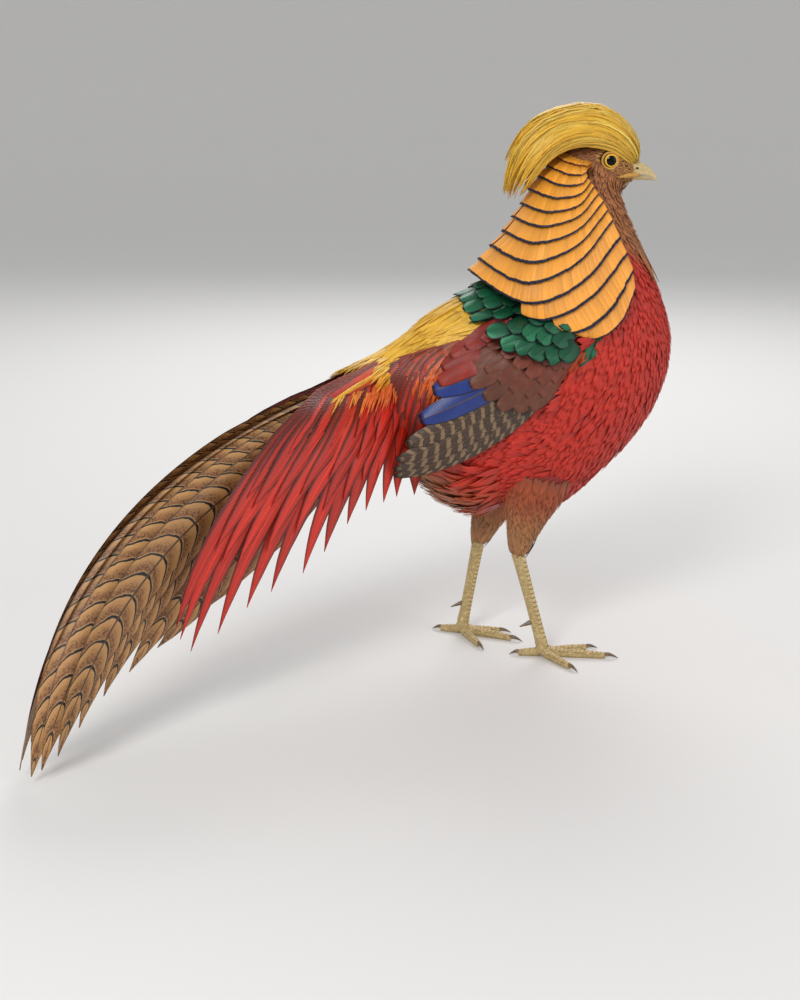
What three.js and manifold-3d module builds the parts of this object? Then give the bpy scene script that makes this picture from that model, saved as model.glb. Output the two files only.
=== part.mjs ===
// A golden pheasant cock, standing with its head up and its tail drooping to the ground, at life size.
// Millimetres. +X is ahead, +Y is the bird's left, +Z is up, and the floor is the plane under its toes.
import * as THREE from "three";
import { mergeVertices } from "three/addons/utils/BufferGeometryUtils.js";
import Module from "manifold-3d";

const wasm = await Module();
wasm.setup();

// Driving dimensions
const GAP = 0.3; // left between pieces that meet face to face
const WING_GAP = 0.9; // left under the wings, where the body's facets are long
const BODY_SIDES = 20; // corners of a ring round the body
const MERGE = 0.06; // detail below this is merged after a cut
const VANE = 0.8; // thickness of a feather
const STAGGER = 1.1; // neighbouring coverts lie this much over and under each other
const CLOSE = 0.94; // share of the room between neighbours that a feather fills

// Body from rump to throat: back x, back z, belly x, belly z, half width
const BODY = [
  [-126, 258, -120, 226, 16],
  [-114, 268, -108, 196, 34],
  [-96, 284, -84, 160, 50],
  [-72, 304, -48, 132, 62],
  [-46, 320, -8, 131, 67],
  [-24, 332, 34, 129, 69],
  [-6, 342, 78, 163, 69],
  [6, 352, 112, 201, 66],
  [15, 362, 131, 240, 59],
  [22, 374, 136, 276, 50],
  [28, 387, 128, 309, 43],
  [33, 399, 116, 338, 35],
  [38, 411, 103, 367, 27],
  [44, 423, 92, 390, 21],
  [50, 434, 88, 404, 17],
  [52, 441, 94, 413, 14],
];
const NECK_CUT = 9.6; // place along the body where torso and neck are parted
const NECK_TOP = 15;

// Head: turned a little to the bird's right
const HEAD_AT = [76, 0, 429];
const HEAD_TURN = -12;
const HEAD_SIDES = 16;
// ahead, height of centre, half height, half width
const HEAD_RINGS = [
  [-50, -5, 5, 9],
  [-42, -3, 9.5, 14],
  [-30, 0, 14, 15],
  [-17, 0, 17.5, 14],
  [-9, 0, 19.5, 14.2],
  [-1, -0.5, 19, 14],
  [7, -2, 16.5, 12.6],
  [14, -4, 13.5, 10.2],
  [19.5, -5.5, 10, 8],
  [23, -6.3, 7.2, 5.6],
];
const EYE = { ahead: 1, out: 7.9, up: 2.5, radius: 7.4, opening: 5.6 };
const LID = { radius: 6.5, wire: 1.25, out: 13 };
// Bill: ahead, top height, bottom height, half width
const BILL_UPPER = [
  [17, 1, -9.7, 5.6],
  [23, 0.6, -9.5, 5.0],
  [28, -0.6, -9.7, 4.1],
  [33, -3.2, -10.5, 3.0],
  [38, -7.2, -11.9, 1.9],
  [41.5, -12, -14.6, 0.6],
];
const BILL_LOWER = [
  [17, -10, -14.2, 4.8],
  [23, -9.8, -14.2, 4.4],
  [28, -10, -14, 3.6],
  [33, -10.8, -13.8, 2.6],
  [37, -12, -13.9, 1.6],
  [39.6, -13.4, -14.4, 0.7],
];

// Crest: from the forehead over the crown to the nape. Top line x, z; lower edge x, out, z
const CREST = [
  [101, 432, 97, 5, 428],
  [101, 445, 90, 10, 430],
  [93, 459, 78, 14.5, 438],
  [79, 471, 64, 18, 442],
  [60, 477, 49, 19.5, 443],
  [37, 474, 34, 20, 440],
  [18, 467, 21, 20, 432],
  [3, 455, 12, 19, 421],
  [-7, 438, 5, 17, 411],
  [-11, 421, 1, 12, 404],
];

// Rows of crest plumes from the inside out: how many, root, tip, height at root and at tip
const CREST_ROWS = [
  [6, 5, 9.5, -6, -4.2],
  [5, 3.4, 8.4, -6, -2.8],
  [5, 1.8, 6.9, -6, -1.4],
  [5, 0.2, 5.2, -6, 0],
];

// Cape: lower edge of each tier. Back x, z; side x, out, z; front x, out, z
const CAPE = [
  [22, 427, 35, 26, 421, 51, 24, 425],
  [15, 418, 29, 30, 412, 52, 27, 419],
  [8, 407, 24, 35, 402, 54, 30, 415],
  [2, 395, 18, 41, 391, 56, 33, 411],
  [-5, 384, 11, 47, 380, 59, 36, 405],
  [-13, 372, 5, 53, 367, 63, 38, 399],
  [-24, 360, 0, 59, 352, 66, 41, 392],
  [-34, 349, -4, 66, 336, 70, 44, 384],
  [-43, 340, -2, 71, 320, 76, 47, 370],
  [-48, 336, 5, 73, 307, 82, 49, 357],
  [-51, 333, 30, 74, 296, 87, 52, 343],
  [-53, 331, 50, 71, 291, 88, 56, 329],
];

const CAPE_PLUME = 40; // width of a cape feather
const CAPE_REACH = 2; // tiers from root to tip
const CAPE_SINK = -7; // height of the root and the tip over the guide
const CAPE_RISE = 0.2;
const CAPE_CORE = 4.6; // depth of the core below the guide
const CAPE_CORE_STEP = 2.1; // tiers between the core's rings
const CAPE_CORE_SIDES = 10;
const CAPE_BARE = { 9: 0.4, 10: 0.55, 11: 0.62 }; // share round the back without feathers of their own

// Wing: distance along, then place across and distance out at the lower edge, middle and upper edge
const WING_FRONT = [40, 293];
const WING_SLOPE = -144.5;
const WING = [
  [4, -5, 66, -2, 67, 1, 66],
  [24, -9, 70, -4, 72, 2, 70],
  [45, -19, 73, -3, 76, 14, 73],
  [80, -27, 74, 12, 76, 54, 50],
  [115, -27, 71, 8, 72, 39, 60],
  [150, -21, 66, 2, 66, 24, 61],
  [180, -8, 58, 2, 58, 12, 57],
  [193, -1, 53, 0, 53, 2, 53],
];

// Flight feathers from the lowest outward: root, tip, sag, half width
const WING_FLIGHT = [
  [[50, -14], [192, -3], 14, 7],
  [[50, -8], [191, 3], 10, 8],
  [[50, 0], [174, 14], 8, 9.5],
  [[48, 8], [153, 25], 6, 11],
  [[48, 18], [127, 37], 4, 12],
];
// Rows of coverts, from the lowest outward: roots and tips of the first and the last feather
const WING_ROWS = [
  { count: 4, root: [[28, -7], [72, 34]], tip: [[72, -22], [102, 38]], low: -3, high: 1 },
  { count: 3, root: [[20, -5], [60, 34]], tip: [[50, -13], [80, 42]], low: -3, high: 2.3 },
  { count: 3, root: [[8, -4], [46, 26]], tip: [[30, -8], [62, 46]], low: -3, high: 3.4 },
];
const WING_BULGE = 40; // how far the middle of a row reaches beyond its ends, times four

// Tail: turns toward the bird's right behind the rump, then droops
const TAIL_START = [-81, 0];
const TAIL_TURN = 38;
const TAIL_TURN_LENGTH = 60;
const TAIL_ROOT = [34, 252];
const TAIL_PAIRS = 7;
const TAIL_SINK = 0.9; // share of its half width that a feather hangs below its line
// Tail feathers from the middle pair to the outermost: first handle, last handle and tip, each as distance
// back and height, then distance out, roll and half width
const TAIL_FEATHERS = [
  [200, 243, 386, 184, 408, 6, 13, 45, 19],
  [195, 237, 364, 182, 391, 20, 30, 84, 17],
  [150, 235, 323, 172, 348, 54, 28.4, 84, 15],
  [115, 226, 235, 148, 296, 78, 25.8, 84, 14],
  [95, 222, 160, 170, 228, 110, 23.2, 84, 13],
];

// Tail coverts, a fan of plumes from the longest to the one beside the vent: last handle and tip, each as
// distance back and height
const COVERT_ROOT = [14, 250];
const COVERT_FAN = [
  [246, 212, 300, 104],
  [226, 210, 284, 80],
  [178, 204, 226, 103],
  [132, 207, 166, 118],
  [92, 214, 116, 149],
  [54, 214, 66, 154],
];
const COVERT_LEAD = 0.45; // the first handle's distance from the root, as a share of the last one's
// Its layers from the inside out: how many, share of the full length, distance out, half width
const COVERT_LAYERS = [
  [5, 1, 41, 15],
  [4, 0.82, 44.5, 14],
];
const COVERT_BASE = [
  [4, 250, 20, 16],
  [26, 246, 26, 34],
  [50, 238, 30, 40],
  [74, 228, 20, 40],
  [92, 222, 10, 36],
];

// Core of the vent tuft: x, top z, bottom z, half width
const VENT = [
  [-38, 160, 138, 37],
  [-56, 158, 139, 36],
  [-72, 160, 146, 28],
  [-84, 162, 152, 16],
];
// Rows of locks under it: how many, root x, z, tip x, z, half width of the row
const VENT_ROWS = [
  [5, -46, 146, -50, 124, 34],
  [5, -58, 147, -64, 128, 32],
  [4, -70, 152, -77, 135, 25],
  [2, -79, 156, -88, 144, 11],
];

// Legs: ankle, foot joint, toe headings from ahead, and toe lengths
const LEGS = {
  right: {
    ankle: [-1, -28, 94],
    foot: [21, -39, 9],
    hip: [14, -34, 172],
    heading: -14,
    inner: 25,
    outer: -50,
    hind: 183,
    lengths: [43, 56, 38, 20],
  },
  left: {
    ankle: [-25, 32, 88],
    foot: [-40, 27, 9],
    hip: [2, 33, 160],
    heading: -32,
    inner: -45,
    outer: 23,
    hind: 185,
    lengths: [38, 48, 34, 20],
  },
};
const SHANK_SIDES = 8;
// Shank and toe: share of the length, then half width and half depth, or radius and height of the middle
const SHANK_STOPS = [[0.004, 5, 5.8], [0.1, 4.2, 5.6], [0.5, 3.5, 4.8], [0.85, 3.7, 5], [0.96, 4.6, 5.4]];
const TOE_STOPS = [[0, 4.4, 6.6], [0.25, 3.6, 3.0], [0.6, 3.3, 2.8], [0.92, 2.7, 2.3], [1, 2.0, 1.7]];
const FLOOR = 0;
const CLAW_LENGTH = 10;
const SPUR_LENGTH = 11;

// Colours
const COLOUR = {
  gold: [0xe8a91c, 0.55],
  rust: [0xb9642a, 0.7],
  orange: [0xe07a1c, 0.6],
  scarlet: [0xb3161b, 0.65],
  wing: [0x3b2a44, 0.55],
  tail: [0x6b4a2a, 0.6],
  covert: [0xc8401c, 0.6],
  skin: [0xd9b04a, 0.5],
  leg: [0xb89a5a, 0.55],
  horn: [0x8c7a50, 0.4],
  iris: [0xf2d13c, 0.15],
};

// Vectors and curves
const at = (x, y, z) => new THREE.Vector3(x, y, z);
const rad = THREE.MathUtils.degToRad;

// Value at a place between rows of numbers, on a smooth curve through them
function sample(rows, place) {
  const i = Math.min(Math.max(Math.floor(place), 0), rows.length - 2);
  const t = place - i;
  const row = (k) => rows[Math.min(Math.max(i + k, 0), rows.length - 1)];
  return rows[0].map((_, c) => {
    const [a, b, d, e] = [row(-1)[c], row(0)[c], row(1)[c], row(2)[c]];
    const slope = d - a;
    const bend = 2 * a - 5 * b + 4 * d - e;
    const twist = 3 * b - a - 3 * d + e;
    return b + 0.5 * t * (slope + t * (bend + t * twist));
  });
}

// Solids
function solidFrom(points, faces) {
  const loose = new THREE.BufferGeometry();
  const numbers = points.flatMap((p) => p.toArray());
  loose.setAttribute("position", new THREE.Float32BufferAttribute(numbers, 3));
  loose.setIndex(faces.flat());
  const merged = mergeVertices(loose, 1e-4);
  const index = merged.index.array;
  const kept = [];
  for (let i = 0; i < index.length; i += 3) {
    const [a, b, c] = index.slice(i, i + 3);
    if (a !== b && b !== c && c !== a) kept.push(a, b, c);
  }
  const make = (order) =>
    new wasm.Manifold(
      new wasm.Mesh({
        numProp: 3,
        vertProperties: merged.attributes.position.array,
        triVerts: new Uint32Array(order),
      }),
    );
  const solid = make(kept);
  return solid.volume() > 0 ? solid : make(kept.reverse());
}

// A closed skin over rings that all have the same number of points
function loft(rings) {
  const count = rings[0].length;
  const faces = [];
  for (let i = 0; i < rings.length - 1; i++) {
    for (let j = 0; j < count; j++) {
      const a = i * count + j;
      const b = i * count + ((j + 1) % count);
      faces.push([a, b, b + count], [a, b + count, a + count]);
    }
  }
  const last = (rings.length - 1) * count;
  for (let j = 1; j < count - 1; j++) {
    faces.push([0, j + 1, j], [last, last + j, last + j + 1]);
  }
  return solidFrom(rings.flat(), faces);
}

// A flat feather along a line. line(t) gives a place and the direction off the surface there; width, lift and
// thick are functions of t; bow is how far the edges fall below the shaft, as a share of the half width
function feather({ line, width, lift, thick = () => VANE, bow = 0, steps = 3 }) {
  const columns = bow ? [-1, 0, 1] : [-1, 1];
  const top = [];
  const bottom = [];
  for (let i = 0; i <= steps; i++) {
    const t = i / steps;
    const { place, off, room = 1 } = line(t);
    const ahead = line(Math.min(t + 0.02, 1)).place.sub(line(Math.max(t - 0.02, 0)).place);
    const side = off.clone().cross(ahead).normalize();
    const face = ahead.clone().cross(side).normalize();
    const half = width(t) * room;
    for (const column of columns) {
      const rise = lift(t) - bow * half * Math.abs(column);
      const spot = place.clone().addScaledVector(side, column * half).addScaledVector(face, rise);
      top.push(spot);
      bottom.push(spot.clone().addScaledVector(face, -thick(t)));
    }
  }
  const count = columns.length;
  const under = top.length;
  const faces = [];
  const wall = (a, b) => faces.push([a, b, b + under], [a, b + under, a + under]);
  for (let i = 0; i < steps; i++) {
    for (let j = 0; j < count - 1; j++) {
      const a = i * count + j;
      const c = a + count;
      faces.push([a, a + 1, c + 1], [a, c + 1, c]);
      faces.push([under + a, under + c + 1, under + a + 1], [under + a, under + c, under + c + 1]);
    }
    wall(i * count, (i + 1) * count);
    wall((i + 2) * count - 1, (i + 1) * count - 1);
  }
  for (let j = 0; j < count - 1; j++) {
    wall(j + 1, j);
    wall(steps * count + j, steps * count + j + 1);
  }
  return solidFrom([...top, ...bottom], faces);
}

// Half width along a feather, from shares given at even places from root to tip
const shaped = (half, shares) => (t) => {
  const place = t * (shares.length - 1);
  const i = Math.min(Math.floor(place), shares.length - 2);
  return half * (shares[i] + (shares[i + 1] - shares[i]) * (place - i));
};
const between = (a, b) => (t) => a + (b - a) * t;

// Place, outward direction and half the room to the neighbours on a guide surface
function onGuide(guide, a, b, stepA, stepB, outward) {
  const place = guide(a, b);
  const along = guide(a + stepA, b).sub(guide(a - stepA, b));
  const across = guide(a, b + stepB).sub(guide(a, b - stepB));
  const off = along.cross(across).normalize();
  if (off.dot(outward(place)) < 0) off.negate();
  return { place, off, room: across.length() / 2 };
}

const fuse = (solids) => largest(wasm.Manifold.union(solids));

// The largest closed surface of a solid
function largest(solid) {
  const pieces = solid.decompose();
  return pieces.reduce((best, piece) => (piece.volume() > best.volume() ? piece : best));
}

function cutBy(solid, cutters) {
  return largest(cutters.reduce((rest, cutter) => rest.subtract(cutter), solid).simplify(MERGE));
}

const group = new THREE.Group();

function addNode(name, solid, colour) {
  const mesh = solid.getMesh();
  const geometry = new THREE.BufferGeometry();
  const points = new Float32Array(mesh.numVert * 3);
  for (let i = 0; i < mesh.numVert; i++) {
    points.set(mesh.vertProperties.subarray(i * mesh.numProp, i * mesh.numProp + 3), i * 3);
  }
  geometry.setAttribute("position", new THREE.BufferAttribute(points, 3));
  geometry.setIndex(new THREE.BufferAttribute(mesh.triVerts, 1));
  geometry.computeVertexNormals();
  const [shade, roughness] = COLOUR[colour];
  const material = new THREE.MeshStandardMaterial({ color: shade, roughness, metalness: 0 });
  const node = new THREE.Mesh(geometry, material);
  node.name = name;
  group.add(node);
}

// Body and neck
function bodyRing(place, grow = 0, shift = 0) {
  const [backX, backZ, bellyX, bellyZ, half] = sample(BODY, place);
  const middle = at((backX + bellyX) / 2, 0, (backZ + bellyZ) / 2);
  const up = at((backX - bellyX) / 2, 0, (backZ - bellyZ) / 2);
  const tall = up.length() + grow;
  up.normalize();
  const along = at(up.z, 0, -up.x);
  return Array.from({ length: BODY_SIDES }, (_, j) => {
    const turn = (2 * Math.PI * j) / BODY_SIDES;
    return middle
      .clone()
      .addScaledVector(up, tall * Math.cos(turn))
      .addScaledVector(along, shift)
      .add(at(0, (half + grow) * Math.sin(turn), 0));
  });
}

function bodyStretch(from, to, grow = 0, shift = 0) {
  const places = [from];
  for (let place = Math.floor(from) + 1; place < to; place++) places.push(place);
  places.push(to);
  return loft(places.map((place) => bodyRing(place, grow, place === from ? shift : 0)));
}

const torso = bodyStretch(0, NECK_CUT);
const torsoRoom = bodyStretch(0, NECK_CUT, GAP);
const underWing = bodyStretch(0, NECK_CUT, WING_GAP);
const neckWhole = bodyStretch(NECK_CUT, NECK_TOP, 0, GAP);
const neckRoom = bodyStretch(NECK_CUT, NECK_TOP, GAP);

// Head
function fromHead(ahead, out, up) {
  const turn = rad(HEAD_TURN);
  return at(
    HEAD_AT[0] + ahead * Math.cos(turn) - out * Math.sin(turn),
    HEAD_AT[1] + ahead * Math.sin(turn) + out * Math.cos(turn),
    HEAD_AT[2] + up,
  );
}

function headRing([ahead, centre, tall, wide], grow, sides = HEAD_SIDES) {
  return Array.from({ length: sides }, (_, j) => {
    const turn = (2 * Math.PI * j) / sides;
    return fromHead(ahead, (wide + grow) * Math.sin(turn), centre + (tall + grow) * Math.cos(turn));
  });
}

function headShape(grow = 0) {
  const rings = HEAD_RINGS.map(([ahead, ...rest], i) => headRing([ahead - (i === 0 ? grow : 0), ...rest], grow));
  return loft(rings);
}

// A body of revolution about an axis that points out of the head's side
function turned(profile, centre, axis, sides) {
  const lathe = new THREE.LatheGeometry(
    profile.map(([radius, height]) => new THREE.Vector2(radius, height)),
    sides,
  );
  const turn = new THREE.Quaternion().setFromUnitVectors(at(0, 1, 0), axis.clone().normalize());
  lathe.applyQuaternion(turn);
  lathe.translate(centre.x, centre.y, centre.z);
  const points = [];
  const place = lathe.getAttribute("position");
  for (let i = 0; i < place.count; i++) points.push(at(place.getX(i), place.getY(i), place.getZ(i)));
  const faces = [];
  const index = lathe.index.array;
  for (let i = 0; i < index.length; i += 3) faces.push([index[i], index[i + 1], index[i + 2]]);
  return solidFrom(points, faces);
}

function ballProfile(radius, steps) {
  return Array.from({ length: steps + 1 }, (_, i) => {
    const turn = -Math.PI / 2 + (Math.PI * i) / steps;
    const onAxis = i === 0 || i === steps;
    return [onAxis ? 0 : radius * Math.cos(turn), radius * Math.sin(turn)];
  });
}

function ringProfile(radius, wire, steps) {
  return Array.from({ length: steps + 1 }, (_, i) => {
    const turn = (2 * Math.PI * (i % steps)) / steps;
    return [radius + wire * Math.cos(turn), wire * Math.sin(turn)];
  });
}

function eyeParts(side) {
  const out = fromHead(0, side, 0).sub(fromHead(0, 0, 0));
  const centre = fromHead(EYE.ahead, side * EYE.out, EYE.up);
  const rim = fromHead(EYE.ahead, side * LID.out, EYE.up);
  const socketProfile = [
    [0, -6],
    [EYE.opening, -6],
    [EYE.opening, 0],
    [EYE.opening + 1.6, 6],
    [0, 6],
  ];
  return {
    ball: turned(ballProfile(EYE.radius, 8), centre, out, 12),
    ballRoom: turned(ballProfile(EYE.radius + GAP, 8), centre, out, 12),
    lid: turned(ringProfile(LID.radius, LID.wire, 5), rim, out, 12),
    lidRoom: turned(ringProfile(LID.radius, LID.wire + GAP, 5), rim, out, 12),
    socket: turned(socketProfile, rim, out, 12),
  };
}

function billShape(rows, corners) {
  const rings = rows.map(([ahead, top, bottom, wide]) =>
    corners.map(([out, up]) => fromHead(ahead, out * wide, bottom + up * (top - bottom))),
  );
  return loft(rings);
}

const BILL_ROOF = [[0, 1], [0.62, 0.72], [1, 0.3], [0.94, 0], [-0.94, 0], [-1, 0.3], [-0.62, 0.72]];
const BILL_KEEL = [[0.94, 1], [0.9, 0.5], [0.45, 0], [-0.45, 0], [-0.9, 0.5], [-0.94, 1]];

// Crest guide: place along 0 to 9, place across from -1 on the right to 1 on the left
function crestPoint(along, across, inset = 0) {
  const [topX, topZ, edgeX, edgeOut, edgeZ] = sample(CREST, along);
  const turn = Math.abs(across) * rad(100);
  const fall = (1 - Math.cos(turn)) / (1 - Math.cos(rad(100)));
  const bulge = Math.sin(turn) / Math.sin(rad(100));
  const swell = 1 + 0.22 * Math.sin(2 * turn);
  const tilt = rad(HEAD_TURN) * Math.max(0, 1 - along / 6);
  const x = topX + (edgeX - topX) * fall;
  const out = Math.sign(across) * edgeOut * bulge * Math.max(swell, 0.9);
  const z = topZ + (edgeZ - topZ) * fall;
  const point = at(x, out + (x - HEAD_AT[0]) * Math.sin(tilt), z);
  if (inset === 0) return point;
  return point.addScaledVector(crestHeart(along).sub(point).normalize(), inset);
}

// A place inside the crest's core
const crestHeart = (along) => at(HEAD_AT[0] - 2.4 * Math.min(along, 9), 0, HEAD_AT[2] + 4);

function crestHelmet(inset, upTo) {
  const rings = [];
  for (let along = 0.4; along <= upTo + 0.001; along += 1.6) {
    const arc = [];
    for (let j = 0; j <= 8; j++) arc.push(crestPoint(along, -1 + j / 4, inset));
    rings.push(arc);
  }
  return loft(rings);
}

function crestPlumes() {
  const outward = (place) => place.clone().sub(at(HEAD_AT[0] - 20, 0, HEAD_AT[2]));
  return CREST_ROWS.flatMap(([count, from, to, low, high]) =>
    Array.from({ length: count }, (_, i) => {
      const across = (2 * i + 1) / count - 1;
      const reach = to - 0.5 * (i % 2);
      return feather({
        line: (t) => onGuide(crestPoint, from + (reach - from) * t, across, 0.05, 1 / count, outward),
        width: shaped(CLOSE, [0.45, 0.68, 0.7, 0.1]),
        lift: (t) => low + (high - low) * Math.min(1, 1.6 * t),
        steps: 3,
      });
    }),
  );
}

function capeCurve(tier, inset = 0) {
  const [backX, backZ, sideX, sideOut, sideZ, frontX, frontOut, frontZ] = sample(CAPE, tier);
  return new THREE.CatmullRomCurve3([
    at(frontX, -frontOut + inset, frontZ),
    at((sideX + frontX) / 2 + 4, -(sideOut + frontOut) / 2 - 5 + inset, (sideZ * 2 + frontZ) / 3 - 1),
    at(sideX, -sideOut + inset, sideZ),
    at(backX + inset, 0, backZ - inset * 0.5),
    at(sideX, sideOut - inset, sideZ),
    at((sideX + frontX) / 2 + 4, (sideOut + frontOut) / 2 + 5 - inset, (sideZ * 2 + frontZ) / 3 - 1),
    at(frontX, frontOut - inset, frontZ),
  ]);
}

function capeCollar(inset, from, upTo) {
  const rings = [];
  for (let tier = from; tier <= upTo + 0.001; tier += CAPE_CORE_STEP) {
    rings.push(capeCurve(tier, inset).getSpacedPoints(CAPE_CORE_SIDES));
  }
  return loft(rings);
}

// Cape guide: tier, and place across from -1 at the right front edge to 1 at the left
const capePoint = (tier, across) => capeCurve(tier).getPointAt(Math.min(Math.max((across + 1) / 2, 0), 1));

function capePlumes() {
  const outward = (place) => place.clone().sub(at(60, 0, place.z - 30));
  const plumes = [];
  for (let tier = 1; tier < CAPE.length; tier++) {
    const count = 2 * Math.round(capeCurve(tier).getLength() / CAPE_PLUME / 2) + (tier % 2);
    const root = Math.max(tier - CAPE_REACH, 0.1);
    const bare = CAPE_BARE[tier] ?? 0;
    for (let i = 0; i < count; i++) {
      const across = (2 * i + 1) / count - 1;
      if (Math.abs(across) < bare) continue;
      plumes.push(
        feather({
          line: (t) => onGuide(capePoint, root + (tier - root) * t, across, 0.05, 1 / count, outward),
          width: shaped(CLOSE, [0.6, 0.85, 0.72]),
          lift: between(CAPE_SINK, CAPE_RISE),
          steps: 2,
        }),
      );
    }
  }
  return plumes;
}

// Wing guide: distance along, place across in millimetres, and height over the surface
function wingPoint(side, along, across, lift = 0) {
  let place = 0;
  while (place < WING.length - 2 && WING[place + 1][0] < along) place++;
  const t = (along - WING[place][0]) / (WING[place + 1][0] - WING[place][0]);
  const [, low, lowOut, mid, midOut, high, highOut] = sample(WING, place + t);
  const above = across > mid;
  const reach = (across - mid) / (above ? high - mid : mid - low);
  const edge = above ? highOut : lowOut;
  const out = midOut + (edge - midOut) * reach * reach + lift;
  const slope = rad(WING_SLOPE);
  const x = WING_FRONT[0] + along * Math.cos(slope) + across * Math.sin(slope);
  const z = WING_FRONT[1] + along * Math.sin(slope) - across * Math.cos(slope);
  return at(x, side * out, z);
}

function wingShape(side, { lift = 0, thick, grow = 0, upTo = WING.length }) {
  const rings = WING.slice(0, upTo).map(([along, low, , mid, , high]) => {
    const from = low - grow;
    const to = high + grow;
    const stops = [from, (from + mid) / 2, mid, (mid + to) / 2, to];
    const outer = stops.map((across) => wingPoint(side, along, across, lift));
    const inner = stops.map((across) => wingPoint(side, along, across, lift - thick)).reverse();
    return [...outer, ...inner];
  });
  return loft(rings);
}

// A wing feather from its root to its tip, both as distance along and place across, bowed by sag
function wingFeather(side, [rootAlong, rootAcross], [tipAlong, tipAcross], sag, half, shares, low, high, steps) {
  const outward = () => at(0, side, 0);
  const guide = (along, across) => wingPoint(side, along, across);
  return feather({
    line: (t) => {
      const along = rootAlong + (tipAlong - rootAlong) * t;
      const across = rootAcross + (tipAcross - rootAcross) * t - 4 * sag * t * (1 - t);
      return onGuide(guide, along, across, 1, 1, outward);
    },
    width: shaped(half, shares),
    lift: between(low, high),
    steps,
  });
}

function wingFeathers(side) {
  const flight = WING_FLIGHT.map(([root, tip, sag, half], i) => {
    const level = -5.7 + 1.12 * i;
    return wingFeather(side, root, tip, sag, half, [0.7, 1, 0.95, 0.3], level - 0.6, level, 3);
  });
  const rows = WING_ROWS.flatMap(({ count, root, tip, low, high }) => {
    const step = Math.hypot(tip[1][0] - tip[0][0], tip[1][1] - tip[0][1]) / (count - 1);
    return Array.from({ length: count }, (_, i) => {
      const t = i / (count - 1);
      const [from, to] = [root, tip].map(([a, b]) => [a[0] + (b[0] - a[0]) * t, a[1] + (b[1] - a[1]) * t]);
      to[0] += WING_BULGE * t * (1 - t);
      return wingFeather(side, from, to, 0, (step / 2) * CLOSE, [0.7, 1, 0.55], low, high, 2);
    });
  });
  return [...flight, ...rows];
}

// Tail guide: distance back, distance out of its middle plane (plus is the bird's right), and height
function tailPoint(back, out, z) {
  const turn = rad(TAIL_TURN) * Math.min(back / TAIL_TURN_LENGTH, 1);
  const radius = TAIL_TURN_LENGTH / rad(TAIL_TURN);
  const rest = Math.max(back - TAIL_TURN_LENGTH, 0);
  const x = TAIL_START[0] - radius * Math.sin(turn) - rest * Math.cos(turn);
  const y = TAIL_START[1] - radius * (1 - Math.cos(turn)) - rest * Math.sin(turn);
  return at(x + out * Math.sin(turn), y - out * Math.cos(turn), z);
}

// A cubic curve in the tail's middle plane, from the root to the tip
function tailCurve(root, first, last, tip) {
  return new THREE.CubicBezierCurve(...[root, first, last, tip].map(([x, y]) => new THREE.Vector2(x, y)));
}

// side is 1 for the bird's right, which is the tail's near side
function tailFeather(side, pair) {
  const row = sample(TAIL_FEATHERS, (pair * (TAIL_FEATHERS.length - 1)) / (TAIL_PAIRS - 1));
  const [firstBack, firstZ, lastBack, lastZ, tipBack, tipZ, out, roll, half] = row;
  const curve = tailCurve(TAIL_ROOT, [firstBack, firstZ], [lastBack, lastZ], [tipBack, tipZ]);
  const turn = rad(roll);
  const width = shaped(1, [0.5, 1, 1, 0.95, 0.08]);
  const spread = (t) => out * (0.5 + 0.5 * Math.min(1, t * 3)) * (1 - 0.4 * t * t);
  const line = (t) => {
    const spot = curve.getPoint(t);
    const along = curve.getTangent(t);
    const place = tailPoint(spot.x, side * spread(t), spot.y);
    const up = tailPoint(spot.x - along.y, side * spread(t), spot.y + along.x).sub(place).normalize();
    const away = tailPoint(spot.x, side * (spread(t) + 1), spot.y).sub(place).normalize();
    place.addScaledVector(up, -TAIL_SINK * half * Math.sin(turn) * width(t));
    const off = up.multiplyScalar(Math.cos(turn)).addScaledVector(away, Math.sin(turn));
    return { place, off };
  };
  return feather({
    line,
    width: (t) => half * width(t),
    lift: () => 0,
    thick: between(1.1, VANE),
    bow: pair === 0 ? 0.3 : 0,
    steps: 4,
  });
}

function tailBase(grow = 0) {
  const rings = COVERT_BASE.map(([back, middle, tall, wide]) =>
    Array.from({ length: 10 }, (_, j) => {
      const turn = (2 * Math.PI * j) / 10;
      return tailPoint(back, (wide + grow) * Math.sin(turn), middle + (tall + grow) * Math.cos(turn));
    }),
  );
  return loft(rings);
}

// A curved plate beside the tail's base, which the coverts grow from
function covertBase(side, grow = 0) {
  const rings = COVERT_BASE.slice(0, 4).map(([back, middle, tall, wide]) => {
    const place = (turn, grow) =>
      tailPoint(back, side * (wide + grow) * Math.sin(rad(turn)), middle + (tall + grow) * Math.cos(rad(turn)));
    const turns = [66, 84, 102, 122];
    return [...turns.map((turn) => place(turn, 7 + grow)), ...turns.reverse().map((turn) => place(turn, GAP - grow))];
  });
  return loft(rings);
}

// One tail covert: a long pointed plume
function covert(side, fan, share, root, out, half) {
  const [lastBack, lastZ, tipBack, tipZ] = sample(COVERT_FAN, fan);
  const first = root.map((start, axis) => start + ([lastBack, lastZ][axis] - start) * COVERT_LEAD);
  const curve = tailCurve(root, first, [lastBack, lastZ], [tipBack, tipZ]);
  const rootOut = out - 17;
  const line = (t) => {
    const spot = curve.getPoint(t * share);
    const spread = rootOut + (out - rootOut) * Math.min(1, t * 3);
    const place = tailPoint(spot.x, side * spread, spot.y);
    return { place, off: tailPoint(spot.x, side * (spread + 1), spot.y).sub(place) };
  };
  return feather({
    line,
    width: shaped(half, [0.5, 1, 1, 0.05]),
    lift: () => 0,
    steps: 3,
  });
}

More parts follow.
